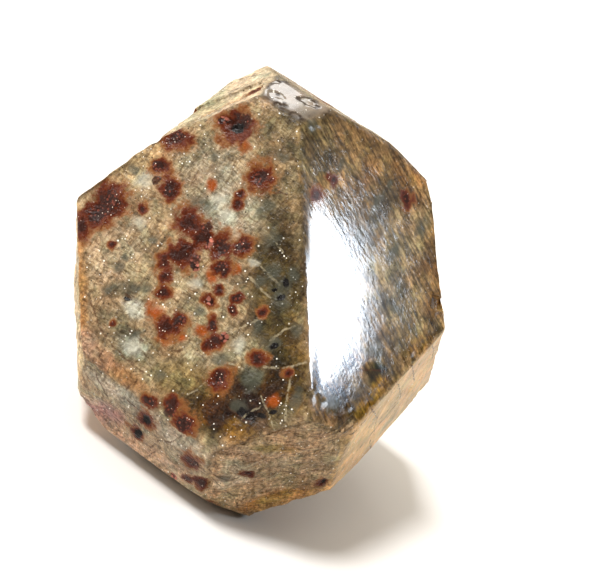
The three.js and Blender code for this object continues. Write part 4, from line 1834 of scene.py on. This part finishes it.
@dataclass(frozen=True)
class ZirconStone:
    """The stone's finish: mottled grey-brown, stained with rust, glassy on its grown faces."""

    refraction: float = 1.95
    shine: float = 0.08
    polish_roughness: float = 0.04
    relief_depth: float = 0.00025
    cool: Colour = (214, 255, 252)
    bright: tuple[float, float, float, float] = (1.4, 1.46, 1.62, 1.0)
    dim: tuple[float, float, float, float] = (0.44, 0.34, 0.25, 1.0)
    speck: Colour = (34, 24, 18)
    # Painted glints: white flecks in the base colour that stand in for glints of light.
    painted_spark: Colour = (255, 250, 236)
    etching: Colour = (40, 28, 22)
    hair: Colour = (48, 30, 20)
    healed: Colour = (204, 190, 156)
    opened: Colour = (70, 40, 22)
    halo: Colour = (130, 80, 38)
    rust: Colour = (90, 34, 9)
    deep: Colour = (40, 14, 7)
    core: Colour = (46, 20, 12)
    grain: Colour = (116, 56, 40)
    # Painted glints on the crystals in the rust spots.
    glint: Colour = (250, 226, 206)
    rose: Colour = (164, 98, 82)
    ember: Colour = (146, 66, 8)
    slate: Colour = (72, 72, 60)
    pale: Colour = (186, 184, 168)
    black: Colour = (14, 10, 9)

    def paint(self) -> bpy.types.Material:
        """Makes the material.

        Returns:
            The material.
        """
        stone = bpy.data.materials.new("zircon stone")
        web = Web(stone)
        place = web.stretched(web.made("TexCoord", {}, "Object"), (1.0 / MM,) * 3)
        colour = self.ground(web, place)
        colour, glint = self.stained(web, place, colour)
        web.plug(web.shader.inputs["Base Color"], colour)
        rough = web.plus(web.value("gloss"), web.times(glint, 0.1))
        web.plug(web.shader.inputs["Roughness"], rough)
        web.shader.inputs["IOR"].default_value = self.refraction
        web.shader.inputs["Specular IOR Level"].default_value = self.shine
        web.plug(web.shader.inputs["Coat Weight"], web.value("polished"))
        web.shader.inputs["Coat Roughness"].default_value = self.polish_roughness
        web.shader.inputs["Coat IOR"].default_value = self.refraction
        web.plug(web.shader.inputs["Normal"], self.relief(web, place))
        web.plug(web.shader.inputs["Coat Normal"], self.crinkles(web, place))
        return stone

    def ground(self, web: Web, place: Socket) -> Socket:
        """The mottled ground, with its grains, cleavage lines and painted glints.

        Args:
            web: The tree.
            place: Each point's place in mm.

        Returns:
            The colour of the ground.
        """
        colour = web.colour("tint")
        broad = web.ramped(web.noise(place, 0.8, 4.0), 0.34, 0.66)
        fine = web.ramped(web.noise(place, 2.6, 5.0), 0.36, 0.66)
        lively = web.plus(0.5, web.times(broad, 0.35))
        lively = web.plus(lively, web.times(fine, 0.65))
        calm = web.ramped(web.value("lined"), 0.0, 0.5)
        plain = web.mixed(calm, colour, web.scaled(colour, lively))
        cool = web.ramped(web.noise(web.stretched(place, (1.0, -1.0, 1.0)), 0.7, 4.0), 0.5, 0.62)
        plain = web.mixed(web.times(cool, 0.3), plain, web.tinted(plain, rgb(self.cool)))
        lay = web.vector("lay")
        streak = web.noise(web.stretched(lay, (2.4, 0.3, 1.0)), 1.0, 4.0)
        streaky = web.plus(0.55, web.times(web.ramped(streak, 0.36, 0.64), 0.9))
        streaked = web.value("streaked")
        colour = web.mixed(streaked, plain, web.scaled(plain, streaky))
        colour = self.cleavage(web, place, lay, colour)
        gap, kind = web.cells(place, 2.2)
        grain = web.times(web.ramped(gap, 0.26, 0.1), web.ramped(kind, 0.8, 0.84))
        colour = web.mixed(web.times(grain, 0.85), colour, rgb(self.speck))
        crowd = web.ramped(web.noise(place, 0.6, 2.0), 0.36, 0.56)
        crowd = web.times(crowd, web.minus(1.0, web.times(streaked, 0.8)))
        # Painted glints, crowded in patches: white flecks that stand in for light glinting off tiny
        # facets.
        for scale, least in ((1.9, 0.88), (3.4, 0.8)):
            gap, kind = web.cells(place, scale)
            size = web.times(web.minus(kind, least), 1.6)
            painted_spark = web.ramped(web.minus(size, gap), -0.04, 0.04)
            shown = web.times(painted_spark, crowd)
            colour = web.mixed(shown, colour, rgb(self.painted_spark))
        return web.mixed(web.times(web.value("etched"), 0.9), colour, rgb(self.etching))

    def cleavage(self, web: Web, place: Socket, lay: Socket, colour: Socket) -> Socket:
        """Short straight lines, dark and pale, in the two directions of each side, and hair cracks.

        Args:
            web: The tree.
            place: Each point's place in mm.
            lay: Each point's place across and up its own side.
            colour: The ground.

        Returns:
            The ground with its lines.
        """
        bent = web.times(web.noise(place, 0.5, 2.0), 1.5)
        lay = web.moved(lay, bent)
        crossing = web.minus(1.0, web.value("streaked"))
        for shape, strength in (
            ((0.45, 2.9, 1.0), crossing),
            ((2.9, 0.45, 1.0), 1.0),
            ((1.1, 6.0, 1.0), crossing),
            ((5.5, 0.6, 1.0), 0.8),
        ):
            lines = web.noise(web.stretched(lay, shape), 1.0, 3.0)
            dark = web.times(web.ramped(lines, 0.57, 0.63), 0.7)
            pale = web.times(web.ramped(lines, 0.43, 0.37), 0.6)
            strength = web.times(strength, web.value("lined"))
            dark = web.times(dark, strength)
            pale = web.times(pale, strength)
            colour = web.mixed(dark, colour, web.tinted(colour, self.dim))
            colour = web.mixed(pale, colour, web.tinted(colour, self.bright))
        zone = web.ramped(web.noise(web.stretched(place, (-1.0, 1.0, 1.0)), 0.3, 1.0), 0.46, 0.56)
        hair = web.math("ABSOLUTE", web.minus(web.noise(place, 0.4, 4.0), 0.52))
        crack = web.times(web.ramped(hair, 0.006, 0.001), zone)
        colour = web.mixed(web.times(crack, 0.55), colour, rgb(self.hair))
        uneven = web.times(web.minus(web.noise(place, 2.0, 3.0), 0.5), 0.5)
        healed = web.ramped(web.plus(web.value("healed"), uneven), 0.76, 0.94)
        colour = web.mixed(web.times(healed, 0.36), colour, rgb(self.healed))
        opened = web.ramped(web.plus(web.value("crack"), uneven), 0.76, 0.92)
        return web.mixed(web.times(opened, 0.7), colour, rgb(self.opened))

    def stained(self, web: Web, place: Socket, colour: Socket) -> tuple[Socket, Socket]:
        """Lays the stains over the ground, with painted glints on the crystals in the rust.

        Args:
            web: The tree.
            place: Each point's place in mm.
            colour: The ground.

        Returns:
            The stained colour, and where the crystals in the spots lie.
        """
        fray = web.minus(web.noise(place, 1.3, 5.0), 0.5)
        crumb = web.minus(web.noise(place, 4.5, 2.0), 0.5)
        ragged = web.plus(web.times(fray, 1.7), web.times(crumb, 0.5))

        def deep_in(stain: Stain, low: float, high: float) -> Socket:
            """How far inside the ragged outline of a stain each point is."""
            return web.ramped(web.plus(web.value(stain.value), ragged), low, high)

        uneven = web.plus(0.5, web.times(web.noise(place, 1.6, 4.0), 0.9))
        ember = web.scaled(rgb(self.ember)[:3], uneven)
        colour = web.mixed(web.times(deep_in(Stain.PALE, -0.4, 0.9), 0.6), colour, rgb(self.pale))
        colour = web.mixed(web.times(deep_in(Stain.SLATE, -0.35, 0.6), 0.75), colour, rgb(self.slate))
        colour = web.mixed(web.times(deep_in(Stain.EMBER, -0.6, 0.6), 0.95), colour, ember)
        patchy = web.plus(0.25, web.ramped(web.noise(place, 0.45, 2.0), 0.4, 0.56))
        glow = web.times(deep_in(Stain.RUST, -0.75, 0.1), patchy)
        colour = web.mixed(web.math("MINIMUM", glow, 0.9), colour, rgb(self.halo))
        colour = web.mixed(deep_in(Stain.RUST, -0.3, 0.25), colour, rgb(self.rust))
        colour = web.mixed(web.times(deep_in(Stain.RUST, 0.15, 0.75), 0.9), colour, rgb(self.deep))
        gap, kind = web.cells(place, 2.1)
        pink = web.scaled(rgb(self.rose)[:3], web.plus(0.5, web.times(kind, 1.1)))
        pink = web.mixed(web.ramped(gap, 0.36, 0.66), pink, rgb(self.deep))
        gap, kind = web.cells(place, 3.4)
        crumbs = web.ramped(gap, 0.32, 0.6)
        colour = web.mixed(deep_in(Stain.ROSE, -0.1, 0.3), colour, pink)
        crystals = web.mixed(web.ramped(kind, 0.5, 0.8), rgb(self.core), rgb(self.grain))
        crystals = web.mixed(crumbs, crystals, rgb(self.deep))
        core = deep_in(Stain.CORE, -0.1, 0.25)
        colour = web.mixed(web.times(core, 0.85), colour, crystals)
        # Painted glints: pale flecks in the base colour in and around the rust, where light would glint
        # on the crystals.
        gap, kind = web.cells(place, 4.5)
        painted_spark = web.times(web.ramped(gap, 0.3, 0.16), web.ramped(kind, 0.88, 0.92))
        near = deep_in(Stain.RUST, 0.0, 0.3)
        colour = web.mixed(web.times(painted_spark, near), colour, rgb(self.glint))
        colour = web.mixed(deep_in(Stain.BLACK, -0.15, 0.3), colour, rgb(self.black))
        return colour, core

    def relief(self, web: Web, place: Socket) -> Socket:
        """The finest relief of the stone.

        Args:
            web: The tree.
            place: Each point's place in mm.

        Returns:
            The turned normal.
        """
        rough = web.plus(web.noise(place, 4.5, 4.0), web.times(web.noise(place, 1.4, 2.0), 2.0))
        lay = web.stretched(web.vector("lay"), (4.0, 0.4, 1.0))
        streaks = web.times(web.noise(lay, 1.0, 4.0), web.value("streaked"))
        height = web.times(web.plus(rough, streaks), web.value("grit"))
        return web.bumped(height, self.relief_depth)

    def crinkles(self, web: Web, place: Socket) -> Socket:
        """The scratches and crinkles of the glassy skin.

        Args:
            web: The tree.
            place: Each point's place in mm.

        Returns:
            The turned normal.
        """
        lay = web.stretched(web.vector("lay"), (3.4, 1.0, 1.0))
        crinkle = web.plus(web.noise(place, 2.4, 5.0), web.noise(lay, 1.0, 4.0))
        return web.bumped(web.times(crinkle, web.value("crinkled")), self.relief_depth)


# The crystal


@dataclass
class Crystal:
    """The zircon crystal: its body, its relief, and the colour and gloss of its surface.

    The turn is how it lies round the upright, and the stand is where its centre stands, in mm.
    """

    name: str = "crystal"
    seed: int = 11
    turn: float = math.radians(-106.2)
    stand: Triple = (0.28387, 4.15148, 15.2)
    body: FacetedBody = field(default_factory=FacetedBody)
    relief: Relief = field(default_factory=Relief)

    def placed(self, points: np.ndarray) -> np.ndarray:
        """Points of the crystal in metres, as it lies on its break."""
        turned = np.array(Matrix.Rotation(self.turn, 3, "Z") @ Matrix.Rotation(LEAN, 3, "Y"))
        return (points @ turned.T + np.array(self.stand)) * MM

    def build(self) -> bpy.types.Object:
        """Builds the crystal and puts it into the scene.

        Returns:
            The crystal.
        """
        self.body.mesh(np.random.default_rng(self.seed))
        shaped = self.relief.shaped(self.body)
        mesh = bpy.data.meshes.new(self.name)
        mesh.from_pydata(self.placed(shaped).tolist(), [], self.body.triangles.tolist())
        mesh.shade_smooth()
        shares = self.relief.shares(self.body.points)
        Colouring(self.body.points, self.body.on_cut, shares).dress(mesh)
        mesh.materials.append(ZirconStone().paint())
        crystal = bpy.data.objects.new(self.name, mesh)
        bpy.context.scene.collection.objects.link(crystal)
        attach(crystal, "root")
        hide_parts("zircon_crystal")
        return crystal


# The camera and the light


@dataclass(frozen=True)
class Camera:
    """The camera, in metres: where it stands, what it looks at and which way is up in it."""

    eye: Triple = (0.00309721, -0.14907949, 0.07505829)
    right: Triple = (0.87795874, 0.1657961, 0.44911034)
    up: Triple = (-0.47873602, 0.3050762, 0.82324986)
    lens: float = 88.3

    def set_up(self) -> None:
        """Puts the camera into the scene."""
        data = bpy.data.cameras.new("camera")
        data.lens = self.lens
        data.sensor_width = 36.0
        data.clip_start = 0.005
        camera = bpy.data.objects.new("camera", data)
        back = Vector(self.right).cross(Vector(self.up))
        turned = Matrix((self.right, self.up, back)).transposed().to_4x4()
        camera.matrix_world = Matrix.Translation(self.eye) @ turned
        bpy.context.scene.collection.objects.link(camera)
        bpy.context.scene.camera = camera


@dataclass(frozen=True)
class SoftBox:
    """A soft area light: where it stands as seen from the crystal, its size and its brightness."""

    name: str
    towards: Triple
    distance: float
    size: tuple[float, float]
    radiance: float
    colour: Triple = (1.0, 1.0, 1.0)

    def set_up(self, middle: Vector) -> None:
        """Puts the light into the scene.

        Args:
            middle: The middle of the crystal, which the light faces.
        """
        data = bpy.data.lights.new(self.name, "AREA")
        data.shape = "ELLIPSE"
        data.size, data.size_y = self.size
        data.energy = self.radiance * math.pi * math.pi * self.size[0] * self.size[1] / 4.0
        data.color = self.colour
        light = bpy.data.objects.new(self.name, data)
        direction = Vector(self.towards).normalized()
        facing = direction.to_track_quat("Z", "Y").to_matrix().to_4x4()
        light.matrix_world = Matrix.Translation(middle + direction * self.distance) @ facing
        bpy.context.scene.collection.objects.link(light)


@dataclass
class Studio:
    """A plain pale floor under an even light, with one key light and soft boxes beside it."""

    floor_size: float = 3.0
    floor_colour: Triple = (0.86, 0.847, 0.83)
    floor_roughness: float = 0.9
    floor_shine: float = 0.1
    key_towards: Triple = (-0.397, -0.363, 0.843)
    key_strength: float = 3.1
    key_softness: float = math.radians(12.0)
    sky_colour: Triple = (1.0, 0.88, 0.71)
    sky_towards: Triple = (-0.4, 0.45, 0.8)
    sky_span: tuple[float, float] = (0.2, 0.95)
    sky_strength: tuple[float, float] = (0.1, 1.2)
    middle: Triple = (0.0, 0.0, 0.02)
    boxes: tuple[SoftBox, ...] = (
        SoftBox("side box", (0.783, 0.0067, 0.6219), 0.26, (0.0633, 0.0633), 10.0, (0.93, 0.97, 1.0)),
        SoftBox("left box", (-0.91, -0.28, 0.3), 0.36, (0.22, 0.14), 5.0),
        SoftBox("side glow", (0.7934, 0.0198, 0.6084), 0.275, (0.065, 0.065), 3.0, (0.45, 0.68, 1.0)),
        SoftBox("top box", (-0.258, 0.61, 0.749), 0.4, (0.09, 0.09), 3.2),
    )

    def floor(self) -> None:
        """Lays the plain pale floor, which isn't part of the specimen."""
        half = 0.5 * self.floor_size
        mesh = bpy.data.meshes.new("floor")
        corners = [(-half, -half, 0.0), (half, -half, 0.0), (half, half, 0.0), (-half, half, 0.0)]
        mesh.from_pydata(corners, [], [(0, 1, 2, 3)])
        paint = bpy.data.materials.new("floor")
        paint.use_nodes = True
        shader = paint.node_tree.nodes["Principled BSDF"]
        shader.inputs["Base Color"].default_value = (*self.floor_colour, 1.0)
        shader.inputs["Roughness"].default_value = self.floor_roughness
        shader.inputs["Specular IOR Level"].default_value = self.floor_shine
        mesh.materials.append(paint)
        sheet = bpy.data.objects.new("floor", mesh)
        bpy.context.scene.collection.objects.link(sheet)

    def sky(self) -> None:
        """The soft light all round, brightest from above and behind."""
        world = bpy.data.worlds.new("studio")
        world.use_nodes = True
        nodes, links = world.node_tree.nodes, world.node_tree.links
        background = nodes["Background"]
        place = nodes.new("ShaderNodeTexCoord")
        facing = nodes.new("ShaderNodeVectorMath")
        facing.operation = "DOT_PRODUCT"
        facing.inputs[1].default_value = Vector(self.sky_towards).normalized()
        ramp = nodes.new("ShaderNodeMapRange")
        ramp.interpolation_type = "SMOOTHSTEP"
        ramp.inputs["From Min"].default_value = self.sky_span[0]
        ramp.inputs["From Max"].default_value = self.sky_span[1]
        ramp.inputs["To Min"].default_value = self.sky_strength[0]
        ramp.inputs["To Max"].default_value = self.sky_strength[1]
        links.new(place.outputs["Generated"], facing.inputs[0])
        links.new(facing.outputs["Value"], ramp.inputs["Value"])
        links.new(ramp.outputs["Result"], background.inputs["Strength"])
        background.inputs["Color"].default_value = (*self.sky_colour, 1.0)
        bpy.context.scene.world = world

    def key(self) -> None:
        """The key light, from the upper left in front."""
        data = bpy.data.lights.new("key", "SUN")
        data.energy = self.key_strength
        data.angle = self.key_softness
        light = bpy.data.objects.new("key", data)
        light.matrix_world = Vector(self.key_towards).to_track_quat("Z", "Y").to_matrix().to_4x4()
        bpy.context.scene.collection.objects.link(light)

    def set_up(self) -> None:
        """Puts the floor and the lights into the scene."""
        self.floor()
        self.sky()
        self.key()
        for box in self.boxes:
            box.set_up(Vector(self.middle))
        scene = bpy.context.scene
        scene.view_settings.view_transform = "Standard"
        scene.view_settings.look = "None"


# The whole scene


def main() -> None:
    """Builds the crystal, the studio and the camera."""
    logging.basicConfig(level=logging.INFO, format="%(message)s")
    Studio().set_up()
    log.info("studio set up")
    crystal = Crystal().build()
    log.info("%s: %d triangles", crystal.name, len(crystal.data.polygons))
    Camera().set_up()
    log.info("camera set up")


if __name__ == "__main__":
    main()
